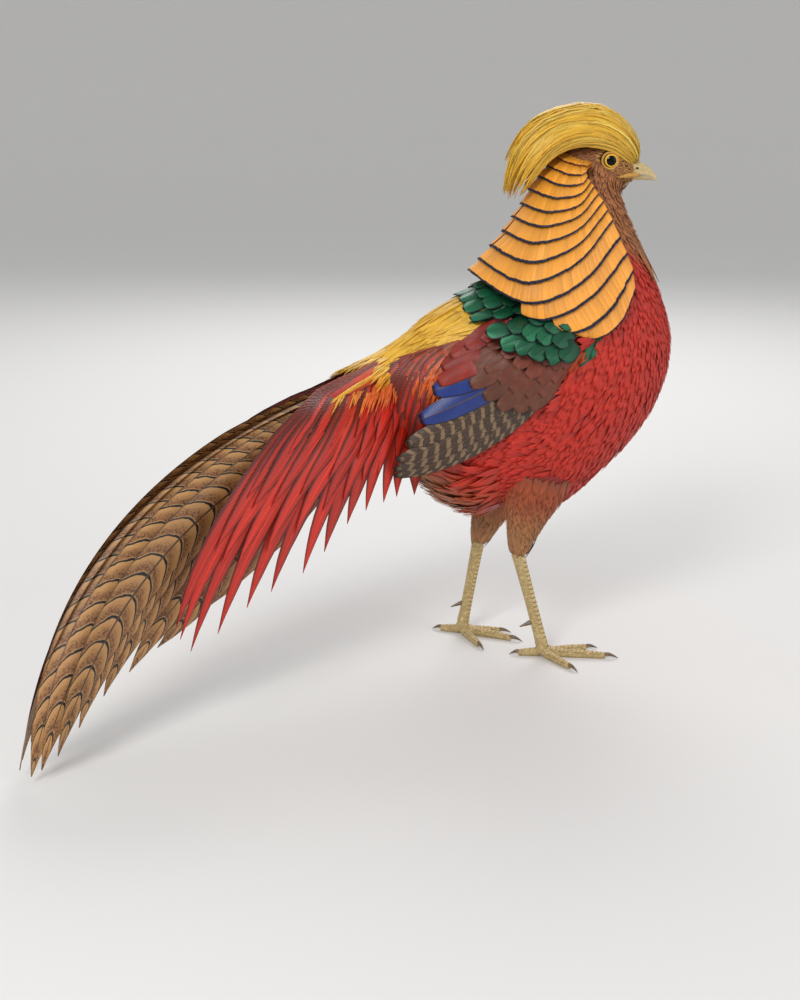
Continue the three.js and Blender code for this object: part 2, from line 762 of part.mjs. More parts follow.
function coverts(side) {
  return COVERT_LAYERS.flatMap(([count, share, out, half], layer) =>
    Array.from({ length: count }, (_, i) => {
      const t = (i + 0.5 * layer) / COVERT_LAYERS[0][0];
      const root = [COVERT_ROOT[0] + 10 * layer, COVERT_ROOT[1] - 6 * t - 3 * layer];
      return covert(side, t * COVERT_FAN.length, share, root, out + (i % 2) * STAGGER, half);
    }),
  );
}

function ventShape() {
  const rings = VENT.map(([x, top, bottom, wide]) =>
    Array.from({ length: 12 }, (_, j) => {
      const turn = (2 * Math.PI * j) / 12;
      return at(x, wide * Math.sin(turn), (top + bottom) / 2 + ((top - bottom) / 2) * Math.cos(turn));
    }),
  );
  const locks = VENT_ROWS.flatMap(([count, rootX, rootZ, tipX, tipZ, out]) =>
    Array.from({ length: count }, (_, i) => {
      const across = out * ((2 * i + 1) / count - 1);
      const root = at(rootX, across, rootZ);
      const tip = at(tipX, across, tipZ - 4 * (i % 2));
      return feather({
        line: (t) => ({ place: root.clone().lerp(tip, t), off: at(-1, 0, -0.5), room: out / count }),
        width: shaped(CLOSE, [1, 1, 0.1]),
        lift: () => 0,
        thick: between(3, VANE),
        steps: 2,
      });
    }),
  );
  return fuse([loft(rings), ...locks]);
}

// Rings round a line between two points, each with its own radius and its own place
function limb(stops, sides) {
  const rings = stops.map(({ place, radius, deep, axis }) => {
    const across = at(0, 1, 0).addScaledVector(axis, -axis.y).normalize();
    const ahead = across.clone().cross(axis).normalize();
    return Array.from({ length: sides }, (_, j) => {
      const turn = (2 * Math.PI * (j + 0.5)) / sides;
      return place
        .clone()
        .addScaledVector(across, radius * Math.cos(turn))
        .addScaledVector(ahead, (deep ?? radius) * Math.sin(turn));
    });
  });
  return loft(rings);
}

function thighShape(leg, grow = 0) {
  const hip = at(...leg.hip);
  const ankle = at(...leg.ankle);
  const down = ankle.clone().sub(hip);
  const length = down.length();
  const axis = down.clone().normalize();
  const stops = [[0, 26, 34], [0.3, 22, 28], [0.55, 16, 19], [0.78, 11, 12.5], [0.95, 8, 8.5], [1, 5.4, 6]];
  return limb(
    stops.map(([t, radius, deep]) => ({
      place: hip.clone().addScaledVector(axis, t * length + (t === 1 ? grow : 0)),
      radius: radius + grow,
      deep: deep + grow,
      axis,
    })),
    12,
  );
}

function shankShape(leg, grow = 0) {
  const ankle = at(...leg.ankle);
  const foot = at(...leg.foot);
  const down = foot.clone().sub(ankle);
  const length = down.length();
  const axis = down.clone().normalize();
  return limb(
    SHANK_STOPS.map(([t, radius, deep]) => ({
      place: ankle.clone().addScaledVector(axis, t * length),
      radius: radius + grow,
      deep: deep + grow,
      axis,
    })),
    SHANK_SIDES,
  );
}

// A toe lies on the floor with a flat sole
function toeRing(place, side, radius, centreZ) {
  return Array.from({ length: 8 }, (_, j) => {
    const turn = (2 * Math.PI * (j + 0.5)) / 8;
    const z = Math.max(centreZ + radius * Math.sin(turn), FLOOR);
    return at(place.x, place.y, 0).addScaledVector(side, radius * Math.cos(turn)).setZ(z);
  });
}

function toeParts(leg, heading, length) {
  const turn = rad(heading);
  const ahead = at(Math.cos(turn), Math.sin(turn), 0);
  const side = at(-Math.sin(turn), Math.cos(turn), 0);
  const start = at(leg.foot[0], leg.foot[1], 0);
  const spot = (distance) => start.clone().addScaledVector(ahead, distance);
  const toe = loft(
    TOE_STOPS.map(([t, radius, centreZ]) => toeRing(spot(t * length), side, radius, centreZ)),
  );
  const claw = loft([
    toeRing(spot(length + GAP), side, 1.9, 2.3),
    toeRing(spot(length + CLAW_LENGTH * 0.5), side, 1.5, 2.5),
    toeRing(spot(length + CLAW_LENGTH), side, 0.4, 0.6),
  ]);
  return { toe, claw };
}

function spurShape(leg) {
  const ankle = at(...leg.ankle);
  const foot = at(...leg.foot);
  const down = foot.clone().sub(ankle).normalize();
  const start = ankle.clone().lerp(foot, 0.72);
  const behind = at(-1, 0, -0.25).normalize();
  const stops = [[2, 2.9], [SPUR_LENGTH * 0.6, 1.9], [SPUR_LENGTH + 4, 0.4]];
  const rings = stops.map(([distance, radius]) =>
    Array.from({ length: 6 }, (_, j) => {
      const turn = (2 * Math.PI * j) / 6;
      return start
        .clone()
        .addScaledVector(behind, distance)
        .addScaledVector(at(0, 1, 0), radius * Math.cos(turn))
        .addScaledVector(down, radius * Math.sin(turn) + distance * 0.12);
    }),
  );
  return loft(rings);
}

// The bird
const headRoom = headShape(GAP);
const eyes = { right: eyeParts(-1), left: eyeParts(1) };
const headCore = fuse([headShape(), eyes.right.lid, eyes.left.lid]);
const head = cutBy(headCore, [
  eyes.right.socket,
  eyes.left.socket,
  eyes.right.ballRoom,
  eyes.left.ballRoom,
]);
const billUpper = cutBy(billShape(BILL_UPPER, BILL_ROOF), [headRoom]);
const billLower = cutBy(billShape(BILL_LOWER, BILL_KEEL), [headRoom]);
const neck = cutBy(neckWhole, [headRoom, ...Object.values(eyes).map(({ lidRoom }) => lidRoom)]);
const eyeRooms = Object.values(eyes).flatMap(({ lidRoom, ballRoom }) => [lidRoom, ballRoom]);
const crestWhole = fuse([crestHelmet(4.4, 8.4), ...crestPlumes()]);
const crest = cutBy(crestWhole, [headRoom, neckRoom, ...eyeRooms]);
const crestRoom = crestHelmet(-0.6, 9);
const capeWhole = fuse([capeCollar(CAPE_CORE, 0, 10.5), ...capePlumes()]);
const cape = cutBy(capeWhole, [headRoom, neckRoom, torsoRoom, crestRoom]);

addNode("head", head, "rust");
addNode("bill_upper", billUpper, "horn");
addNode("bill_lower", billLower, "horn");
addNode("eye_right", eyes.right.ball, "iris");
addNode("eye_left", eyes.left.ball, "iris");
addNode("crest", crest, "gold");
addNode("neck", neck, "rust");
addNode("cape", cape, "orange");
addNode("torso", torso, "scarlet");

const capeRoom = capeCollar(-2.4, 0, 11.4);
const pairs = Array.from({ length: TAIL_PAIRS }, (_, pair) => pair);
const tailFeathers = pairs.flatMap((pair) => [tailFeather(1, pair), tailFeather(-1, pair)]);
const covertRoom = [1, -1].map((side) => covertBase(side, GAP));
addNode("tail", cutBy(fuse([tailBase(), ...tailFeathers]), [torsoRoom, ...covertRoom]), "tail");
for (const [name, side] of [["right", -1], ["left", 1]]) {
  const wingCore = wingShape(side, { lift: -1, thick: 9, grow: -3, upTo: 4 });
  const wing = cutBy(fuse([wingCore, ...wingFeathers(side)]), [underWing, capeRoom]);
  addNode("wing_" + name, wing, "wing");
}
for (const [name, side] of [["right", 1], ["left", -1]]) {
  const wingRoom = wingShape(-side, { lift: 7, thick: 17, grow: 4 });
  addNode("coverts_" + name, cutBy(fuse([covertBase(side), ...coverts(side)]), [torsoRoom, tailBase(GAP), wingRoom]), "covert");
}
addNode("vent_tuft", cutBy(ventShape(), [torsoRoom]), "rust");

for (const [name, leg] of Object.entries(LEGS)) {
  const shank = shankShape(leg);
  const headings = [leg.inner, 0, leg.outer, leg.hind].map((turn) => leg.heading + turn);
  const toes = headings.map((heading, i) => toeParts(leg, heading, leg.lengths[i]));
  const thigh = cutBy(thighShape(leg), [torsoRoom]);
  const foot = cutBy(fuse(toes.map(({ toe }) => toe)), [shankShape(leg, GAP)]);
  addNode("thigh_" + name, thigh, "rust");
  addNode("shank_" + name, cutBy(shank, [thighShape(leg, GAP)]), "leg");
  addNode("foot_" + name, foot, "leg");
  addNode("spur_" + name, cutBy(spurShape(leg), [shankShape(leg, GAP)]), "horn");
  toes.forEach(({ claw }, i) => {
    addNode("claw_" + name + "_" + ["inner", "middle", "outer", "hind"][i], claw, "horn");
  });
}

// The frame stands on the floor, under the middle of the whole bird
const box = new THREE.Box3().setFromObject(group);
const middle = box.getCenter(at(0, 0, 0));
group.position.set(-middle.x, -middle.y, -box.min.z);

export default group;
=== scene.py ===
"""A golden pheasant cock at life size, standing with its head up and its long tail drooping."""

import math

import bmesh
import bpy
import numpy as np
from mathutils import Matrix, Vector


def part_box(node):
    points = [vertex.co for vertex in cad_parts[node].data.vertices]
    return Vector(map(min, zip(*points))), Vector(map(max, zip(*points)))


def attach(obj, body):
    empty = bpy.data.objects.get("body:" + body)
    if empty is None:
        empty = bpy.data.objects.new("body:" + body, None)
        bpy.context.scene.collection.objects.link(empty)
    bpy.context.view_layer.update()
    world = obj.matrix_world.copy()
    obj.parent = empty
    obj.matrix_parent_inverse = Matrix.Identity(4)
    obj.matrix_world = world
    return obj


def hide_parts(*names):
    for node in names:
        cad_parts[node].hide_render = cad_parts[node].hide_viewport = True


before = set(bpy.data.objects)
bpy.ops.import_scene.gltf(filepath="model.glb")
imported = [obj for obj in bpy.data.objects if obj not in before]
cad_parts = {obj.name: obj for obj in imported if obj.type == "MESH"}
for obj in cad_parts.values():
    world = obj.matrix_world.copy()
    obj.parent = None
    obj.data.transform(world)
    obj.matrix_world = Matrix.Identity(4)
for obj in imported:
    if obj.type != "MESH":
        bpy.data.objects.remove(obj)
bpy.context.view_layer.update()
bpy.ops.object.select_all(action="DESELECT")

# Everything below is in millimetres from the floor between the feet, and moved to the frame at the end
MM = 0.001
EYE_MIDDLE = np.array([75.336, -7.935, 431.5])
low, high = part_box("eye_right")
OFFSET = (np.array(low) + np.array(high)) / 2 / MM - EYE_MIDDLE
rng = np.random.default_rng(11)

# Body from rump to throat: back x, back z, belly x, belly z, half width
BODY = np.array([
    [-126, 258, -120, 226, 16],
    [-114, 268, -108, 196, 34],
    [-96, 284, -84, 160, 50],
    [-72, 304, -48, 132, 62],
    [-46, 320, -8, 131, 67],
    [-24, 332, 34, 129, 69],
    [-6, 342, 78, 163, 69],
    [6, 352, 112, 201, 66],
    [15, 362, 131, 240, 59],
    [22, 374, 136, 276, 50],
    [28, 387, 128, 309, 43],
    [33, 399, 116, 338, 35],
    [38, 411, 103, 367, 27],
    [44, 423, 92, 390, 21],
    [50, 434, 88, 404, 17],
    [52, 441, 94, 413, 14],
], float)
# Head rings from nape to bill: ahead, height of centre, half height, half width
HEAD_AT = np.array([76.0, 0.0, 429.0])
HEAD_TURN = -12
HEAD_RINGS = np.array([
    [-50, -5, 5, 9],
    [-42, -3, 9.5, 14],
    [-30, 0, 14, 15],
    [-17, 0, 17.5, 14],
    [-9, 0, 19.5, 14.2],
    [-1, -0.5, 19, 14],
    [7, -2, 16.5, 12.6],
    [14, -4, 13.5, 10.2],
    [19.5, -5.5, 10, 8],
    [23, -6.3, 7.2, 5.6],
], float)
# Eyes and lids, measured from the head's middle
EYE = {"ahead": 1, "out": 7.7, "up": 2.5, "radius": 7.7}
LID = {"out": 13.0, "radius": 6.75, "thick": 0.95}
# Crest: top line x, z; lower edge x, out, z
CREST = np.array([
    [101, 432, 97, 5, 428],
    [101, 445, 90, 10, 430],
    [93, 459, 78, 14.5, 438],
    [79, 471, 64, 18, 442],
    [60, 477, 49, 19.5, 443],
    [37, 474, 34, 20, 440],
    [18, 467, 21, 20, 432],
    [3, 455, 12, 19, 421],
    [-7, 438, 5, 17, 411],
    [-12, 420, 0, 13, 403],
    [-15, 402, -3, 8, 395],
], float)
# Cape: lower edge of each tier, as back x, z; side x, out, z; front x, out, z. Two lie under the crest
CAPE_UNDER_CREST = 2
CAPE = np.array([
    [36, 441, 47, 18, 436, 52, 19, 433],
    [29, 434, 41, 22, 429, 51, 21, 429],
    [22, 427, 35, 26, 421, 51, 24, 425],
    [15, 418, 29, 30, 412, 52, 27, 419],
    [8, 407, 24, 35, 402, 54, 30, 415],
    [2, 395, 18, 41, 391, 56, 33, 411],
    [-5, 384, 11, 47, 380, 59, 36, 405],
    [-13, 372, 5, 53, 367, 63, 38, 399],
    [-24, 360, 0, 59, 352, 66, 41, 392],
    [-34, 349, -4, 66, 336, 70, 44, 384],
    [-43, 340, -2, 71, 320, 76, 47, 370],
    [-48, 336, 5, 73, 307, 82, 49, 357],
    [-51, 333, 30, 74, 296, 87, 52, 343],
    [-53, 331, 50, 71, 291, 88, 56, 329],
], float)
# Wing: along, then low edge, middle and high edge, each as across and out
WING_FRONT = (40, 293)
WING_SLOPE = -144.5
WING = np.array([
    [4, -5, 66, -2, 67, 1, 66],
    [24, -9, 70, -4, 72, 2, 70],
    [45, -19, 73, -3, 76, 14, 73],
    [80, -27, 74, 12, 76, 54, 50],
    [115, -27, 71, 8, 72, 39, 60],
    [150, -21, 67, 2, 67, 24, 62],
    [180, -8, 61, 2, 61, 12, 60],
    [193, -1, 57, 0, 57, 2, 57],
], float)
# Tail: it bends to the bird's right behind the rump
TAIL_START = (-81, 0)
TAIL_TURN = 38
TAIL_TURN_LENGTH = 60
TAIL_ROOT = (34, 252)
TAIL_PAIRS = 9
# For pairs 0, 2, 4, 6 and 8: first and last handle and tip as back and z, then out, roll, half width
TAIL_FEATHERS = np.array([
    [200, 243, 386, 184, 408, 6, 13, 45, 19],
    [195, 237, 364, 182, 391, 20, 30, 84, 17],
    [150, 235, 323, 172, 348, 54, 28.4, 84, 15],
    [115, 226, 235, 148, 296, 78, 25.8, 84, 14],
    [95, 222, 160, 170, 228, 110, 23.2, 84, 13],
], float)
# Ridge of the tail as distance back and height; the cover plumes hang from it like a vault
RIDGE = np.array([
    [-40, 300], [-12, 286], [17, 272], [50, 258], [90, 250], [148, 243], [211, 226], [265, 203], [320, 172],
], float)
VAULT = np.array([[-10, 30], [50, 36], [110, 46]], float)
VAULT_DROP = 40
# How far the plumes of the far side hang below those of the near side
FAR_DROP = 22
# Cover plumes from the longest to the one beside the vent: three handles and the tip, as back and height
PLUMES = np.array([
    [-2, 268, 124, 254, 246, 214, 300, 104],
    [-6, 272, 112, 257, 226, 212, 284, 80],
    [-12, 274, 88, 259, 178, 204, 226, 103],
    [-20, 279, 60, 261, 132, 209, 166, 118],
    [-28, 285, 34, 266, 92, 218, 116, 149],
    [-34, 290, 4, 268, 48, 218, 64, 154],
    [-38, 291, -18, 268, 10, 214, 12, 152],
], float)
# Lower edge of the mantle on the body, as place and turn
MANTLE_EDGE = np.array([
    [3.75, 0], [3.75, 0.16], [3.73, 0.42], [3.88, 0.64], [4.18, 0.81], [4.55, 0.94], [4.9, 1.04], [5.3, 1.15],
    [5.62, 1.24], [5.92, 1.31], [6.25, 1.40],
])
# Legs: their joints, and for each toe its heading in degrees and its length
LEGS = {
    "right": {
        "ankle": (-1, -28, 94), "foot": (21, -39, 9), "hip": (14, -34, 172),
        "toes": {"middle": (-14, 56), "inner": (11, 43), "outer": (-64, 38), "hind": (169, 20)},
    },
    "left": {
        "ankle": (-25, 32, 88), "foot": (-40, 27, 9), "hip": (2, 33, 160),
        "toes": {"middle": (-32, 48), "inner": (-77, 38), "outer": (-9, 34), "hind": (153, 20)},
    },
}
for leg in LEGS.values():
    leg.update({key: np.array(leg[key], float) for key in ("hip", "ankle", "foot")})

# Colours of the plumage, as linear light
GOLD = (0.90, 0.50, 0.035)
PALE_GOLD = (0.95, 0.66, 0.12)
CAPE_ORANGE = (0.86, 0.33, 0.03)
SCARLET = (0.60, 0.022, 0.008)
ORANGE_RED = (0.72, 0.085, 0.010)
RUST = (0.42, 0.15, 0.045)
GREEN = (0.010, 0.13, 0.055)
BLUE = (0.012, 0.035, 0.21)
UMBER = (0.055, 0.030, 0.018)
THIGH_BUFF = (0.46, 0.20, 0.07)

UP = np.array([0, 0, 1.0])
SIDEWAYS = np.array([0, 1.0, 0])
SIDES = (("right", -1), ("left", 1))


# Sums and curves that several parts use
def unit(vectors):
    return vectors / np.maximum(np.linalg.norm(vectors, axis=-1, keepdims=True), 1e-9)


def smooth(value, start, end):
    t = np.clip((value - start) / (end - start), 0, 1)
    return t * t * (3 - 2 * t)


def blend(share, first, second):
    share = np.clip(share, 0, 1)[..., None]
    return np.asarray(first) * (1 - share) + np.asarray(second) * share


def table_at(table, value):
    """A table's second column at a value of its first"""
    return np.interp(value, table[:, 0], table[:, 1])


def table_pair(table, value):
    """A table's second and third column at a value of its first"""
    return (np.interp(value, table[:, 0], table[:, k]) for k in (1, 2))


def sample(rows, place):
    """A smooth curve through rows, read at any place between them"""
    place = np.asarray(place, float)
    i = np.clip(np.floor(place).astype(int), 0, len(rows) - 2)
    t = (place - i)[..., None]
    a, b, d, e = (rows[np.clip(i + k, 0, len(rows) - 1)] for k in (-1, 0, 1, 2))
    return b + 0.5 * t * (d - a + t * (2 * a - 5 * b + 4 * d - e + t * (3 * b - a - 3 * d + e)))


def sample_columns(rows, place):
    return np.moveaxis(sample(rows, place), -1, 0)


def bezier(points, t):
    a, b, d, e = (np.asarray(p, float) for p in points)
    t = t[..., None]
    return a * (1 - t) ** 3 + 3 * b * t * (1 - t) ** 2 + 3 * d * t**2 * (1 - t) + e * t**3


def length_along(path, power=1.0):
    """Length along a path up to each of its points"""
    return np.concatenate([[0], np.cumsum(np.linalg.norm(np.diff(path, axis=0), axis=1) ** power)])


def even_curve(points, count):
    """A smooth curve through points, given at even distances"""
    points = np.array(points, float)
    ends = np.vstack([2 * points[0] - points[1], points, 2 * points[-1] - points[-2]])
    knots = length_along(ends, 0.5)
    curve = []
    for i in range(1, len(ends) - 2):
        t = np.linspace(knots[i], knots[i + 1], 12, endpoint=i == len(ends) - 3)[:, None]
        k, level = knots[i - 1:i + 3], ends[i - 1:i + 3]
        for spans in (((0, 1), (1, 2), (2, 3)), ((0, 2), (1, 3)), ((1, 2),)):
            level = [
                ((k[b] - t) * level[j] + (t - k[a]) * level[j + 1]) / (k[b] - k[a])
                for j, (a, b) in enumerate(spans)
            ]
        curve.append(level[0])
    curve = np.vstack(curve)
    length = length_along(curve)
    return np.stack([np.interp(np.linspace(0, length[-1], count), length, line) for line in curve.T], -1)


# Guides: each turns two numbers into places on the bird
def body_point(place, turn):
    back_x, back_z, belly_x, belly_z, wide = sample_columns(BODY, np.clip(place, 0, len(BODY) - 1))
    swing = np.cos(turn)
    x = (back_x + belly_x) / 2 + (back_x - belly_x) / 2 * swing
    z = (back_z + belly_z) / 2 + (back_z - belly_z) / 2 * swing
    return np.stack([x, wide * np.sin(turn), z], -1)


# Points of the body's left half, for the plumes that have to pass outside it
BODY_GRID = body_point(
    *np.meshgrid(np.linspace(0.3, 10, 141), np.linspace(0.02, math.pi - 0.02, 121), indexing="ij")
)
GRID_REACH = 12


def body_half(x, z):
    """Half width of the body at each x and z, and 0 outside it"""
    halves = []
    for u, v in zip(x, z):
        gap = (BODY_GRID[..., 0] - u) ** 2 + (BODY_GRID[..., 2] - v) ** 2
        nearest = gap.argmin()
        halves.append(BODY_GRID[..., 1].flat[nearest] if gap.flat[nearest] < GRID_REACH else 0)
    return np.array(halves)


def past_mantle(place, turn):
    """How far a place on the body lies forward of the mantle's lower edge"""
    return place - table_at(MANTLE_EDGE[:, ::-1], np.abs(turn))


def from_head(ahead, out, up):
    turn = math.radians(HEAD_TURN)
    x = HEAD_AT[0] + ahead * math.cos(turn) - out * math.sin(turn)
    y = HEAD_AT[1] + ahead * math.sin(turn) + out * math.cos(turn)
    return np.stack(np.broadcast_arrays(x, y, HEAD_AT[2] + up), -1)


def head_point(place, turn):
    ahead, centre, tall, wide = sample_columns(HEAD_RINGS, np.clip(place, 0, len(HEAD_RINGS) - 1))
    return from_head(ahead, wide * np.sin(turn), centre + tall * np.cos(turn))


# The crest's cross section turns this far down each side, and bulges a little above its edge
CREST_WRAP = math.radians(100)
CREST_BULGE, CREST_PINCH = 0.22, 0.9


def crest_point(along, across):
    top_x, top_z, edge_x, edge_out, edge_z = sample_columns(CREST, along)
    turn = np.abs(across) * CREST_WRAP
    fall = (1 - np.cos(turn)) / (1 - math.cos(CREST_WRAP))
    swell = np.maximum(1 + CREST_BULGE * np.sin(2 * turn), CREST_PINCH)
    tilt = math.radians(HEAD_TURN) * np.maximum(0, 1 - along / 6)
    x = top_x + (edge_x - top_x) * fall
    out = np.sign(across) * edge_out * np.sin(turn) / math.sin(CREST_WRAP) * swell
    return np.stack([x, out + (x - HEAD_AT[0]) * np.sin(tilt), top_z + (edge_z - top_z) * fall], -1)


def cape_rim(row):
    back_x, back_z, side_x, side_out, side_z, front_x, front_out, front_z = row
    left = [
        (side_x, side_out, side_z),
        ((side_x + front_x) / 2 + 4, (side_out + front_out) / 2 + 5, (side_z * 2 + front_z) / 3 - 1),
        (front_x, front_out, front_z),
    ]
    return [(x, -y, z) for x, y, z in reversed(left)] + [(back_x, 0, back_z)] + left


CAPE_STEP, CAPE_COLUMNS = 0.25, 65
CAPE_RIMS = np.array([
    even_curve(cape_rim(sample(CAPE, row)), CAPE_COLUMNS)
    for row in np.arange(0, len(CAPE) - 1 + 0.001, CAPE_STEP)
])


def cape_point(tier, across):
    """tier -2 to 11 from the head down, across -1 to 1 from the right front edge to the left"""
    tier, across = np.broadcast_arrays(np.asarray(tier, float), np.asarray(across, float))
    row = np.clip((tier + CAPE_UNDER_CREST) / CAPE_STEP, 0, len(CAPE_RIMS) - 1.001)
    col = np.clip((across + 1) / 2 * (CAPE_COLUMNS - 1), 0, CAPE_COLUMNS - 1.001)
    i, j = row.astype(int), col.astype(int)
    s, t = (row - i)[..., None], (col - j)[..., None]
    near = CAPE_RIMS[i, j] * (1 - t) + CAPE_RIMS[i, j + 1] * t
    far = CAPE_RIMS[i + 1, j] * (1 - t) + CAPE_RIMS[i + 1, j + 1] * t
    return near * (1 - s) + far * s


WING_COS, WING_SIN = math.cos(math.radians(WING_SLOPE)), math.sin(math.radians(WING_SLOPE))


def wing_rows(along):
    return sample_columns(WING, np.interp(along, WING[:, 0], np.arange(len(WING))))


def wing_point(side, along, across):
    _, low_b, low_out, mid, mid_out, high_b, high_out = wing_rows(along)
    above = across > mid
    reach = (across - mid) / np.where(above, high_b - mid, mid - low_b)
    out = mid_out + (np.where(above, high_out, low_out) - mid_out) * reach * reach
    x = WING_FRONT[0] + along * WING_COS + across * WING_SIN
    z = WING_FRONT[1] + along * WING_SIN - across * WING_COS
    return np.stack(np.broadcast_arrays(x, side * out, z), -1)


# The wing's shoulder pushes out what lies over it, fully from this far out from the middle of the back
COVER_FROM, COVER_FULL = 34, 48


def wing_cover(spot, rise):
    """Places moved out, where needed, to lie over the folded wing's shoulder"""
    x, z = spot[..., 0] - WING_FRONT[0], spot[..., 2] - WING_FRONT[1]
    along, across = x * WING_COS + z * WING_SIN, x * WING_SIN - z * WING_COS
    _, low, _, _, _, high, _ = wing_rows(along)
    out = wing_point(1, np.clip(along, 1, 190), np.clip(across, low, high - 2))[..., 1] + rise
    above = np.maximum(across - high, 0)
    out = out - 0.4 * above - 0.05 * np.maximum(above - 25, 0) ** 2
    out = out - 1.1 * np.maximum(low - across, 0) - 0.8 * np.maximum(-along, 0)
    bare = np.abs(spot[..., 1])
    push = np.maximum(out - bare, 0) * smooth(bare, COVER_FROM, COVER_FULL)
    covered = spot.copy()
    covered[..., 1] = np.sign(spot[..., 1]) * (bare + push)
    return covered


def tail_point(back, out, z):
    back, out, z = np.broadcast_arrays(*(np.asarray(v, float) for v in (back, out, z)))
    turn = math.radians(TAIL_TURN) * np.clip(back / TAIL_TURN_LENGTH, 0, 1)
    radius = TAIL_TURN_LENGTH / math.radians(TAIL_TURN)
    rest = np.maximum(back - TAIL_TURN_LENGTH, 0)
    x = TAIL_START[0] - radius * np.sin(turn) - rest * np.cos(turn) - np.minimum(back, 0)
    y = TAIL_START[1] - radius * (1 - np.cos(turn)) - rest * np.sin(turn)
    return np.stack([x + out * np.sin(turn), y - out * np.cos(turn), z], -1)


# The plumes start this deep, and have come up at this share of their length
PLUME_ROOT_DEPTH, PLUME_RISEN = 7, 0.14


def plume_line(side, fan, s, rise):
    """A cover plume: fan 0 to 6 from the longest to the vent, s from root to tip, rise off the vault"""
    back, z = bezier(sample(PLUMES, fan).reshape(4, 2), s).T
    if side < 0:
        z = z - FAR_DROP * max(0.35, 1 - fan / 3) * np.sin(math.pi * s) ** 0.6
    rise = rise + np.interp(s, [0, PLUME_RISEN], [-PLUME_ROOT_DEPTH, 0])
    fall = (table_at(RIDGE, back) - z) / VAULT_DROP
    out = table_at(VAULT, back) * np.sqrt(1 - (1 - np.clip(fall, 0.06, 1)) ** 2) + rise
    spot = tail_point(back, side * out, z)
    ahead = unit(np.gradient(spot, axis=0))
    inside = body_half(spot[:, 0], spot[:, 2])
    spot[:, 1] = np.where(inside > 0, -side * np.maximum(-side * spot[:, 1], inside + 1 + rise), spot[:, 1])
    face = unit(tail_point(back, side * (out + 1), z) - tail_point(back, side * out, z))
    lifted = UP * (1 - np.clip(fall, 0, 1))[:, None] ** 2
    return spot, unit(face + lifted - ahead * np.sum(lifted * ahead, -1, keepdims=True))


# Thigh from hip to ankle: place, half width, half depth
THIGH = np.array([[0, 26, 34], [0.3, 22, 28], [0.55, 16, 19], [0.78, 11, 12.5], [0.95, 8, 8.5], [1, 5.4, 6]])


def thigh_point(leg):
    axis = unit(leg["ankle"] - leg["hip"])
    across = unit(SIDEWAYS - axis * axis[1])
    ahead = np.cross(across, axis)

    def point(place, turn):
        t = np.clip(place, 0, 1)
        wide, deep = (each[..., None] for each in table_pair(THIGH, t))
        middle = leg["hip"] + (leg["ankle"] - leg["hip"]) * t[..., None]
        return middle + across * wide * np.cos(turn)[..., None] + ahead * deep * np.sin(turn)[..., None]

    return point


def outward_from(*centre):
    return lambda place: place - np.array(centre, float)


# Feathers: a vane is a thin lens swept along its quill
def quills(guide, a, b, lift, outward, step=0.02):
    """Quills on a guide: a and b have a row a feather and a column a place along it"""
    place = guide(a, b)
    ahead = unit(np.gradient(place, axis=1))
    face = unit(np.cross(ahead, guide(a, b + step) - guide(a, b - step)))
    face *= np.sign(np.sum(face * outward(place), -1, keepdims=True))
    return place + face * lift[..., None], face


def profile(half, shares, count):
    """Half widths along a feather from shares given at even places, for one half width each"""
    shape = np.interp(np.linspace(0, 1, count), np.linspace(0, 1, len(shares)), shares)
    return np.atleast_1d(half)[:, None] * shape


def linked(name, data):
    piece = bpy.data.objects.new(name, data)
    bpy.context.scene.collection.objects.link(piece)
    return piece


def fill(rows, key, values, kind=np.float32):
    rows.foreach_set(key, np.asarray(values).astype(kind).ravel())


# Side of a feather's patch in the bake map where its guide gives the place
PATCH_SIDE = 0.003


def value_layer(mesh, name, values, kind="FLOAT"):
    """Keeps one number or colour for each point of a mesh"""
    layer = mesh.attributes.new(name, kind, "POINT")
    fill(layer.data, "value" if kind == "FLOAT" else "color", values)


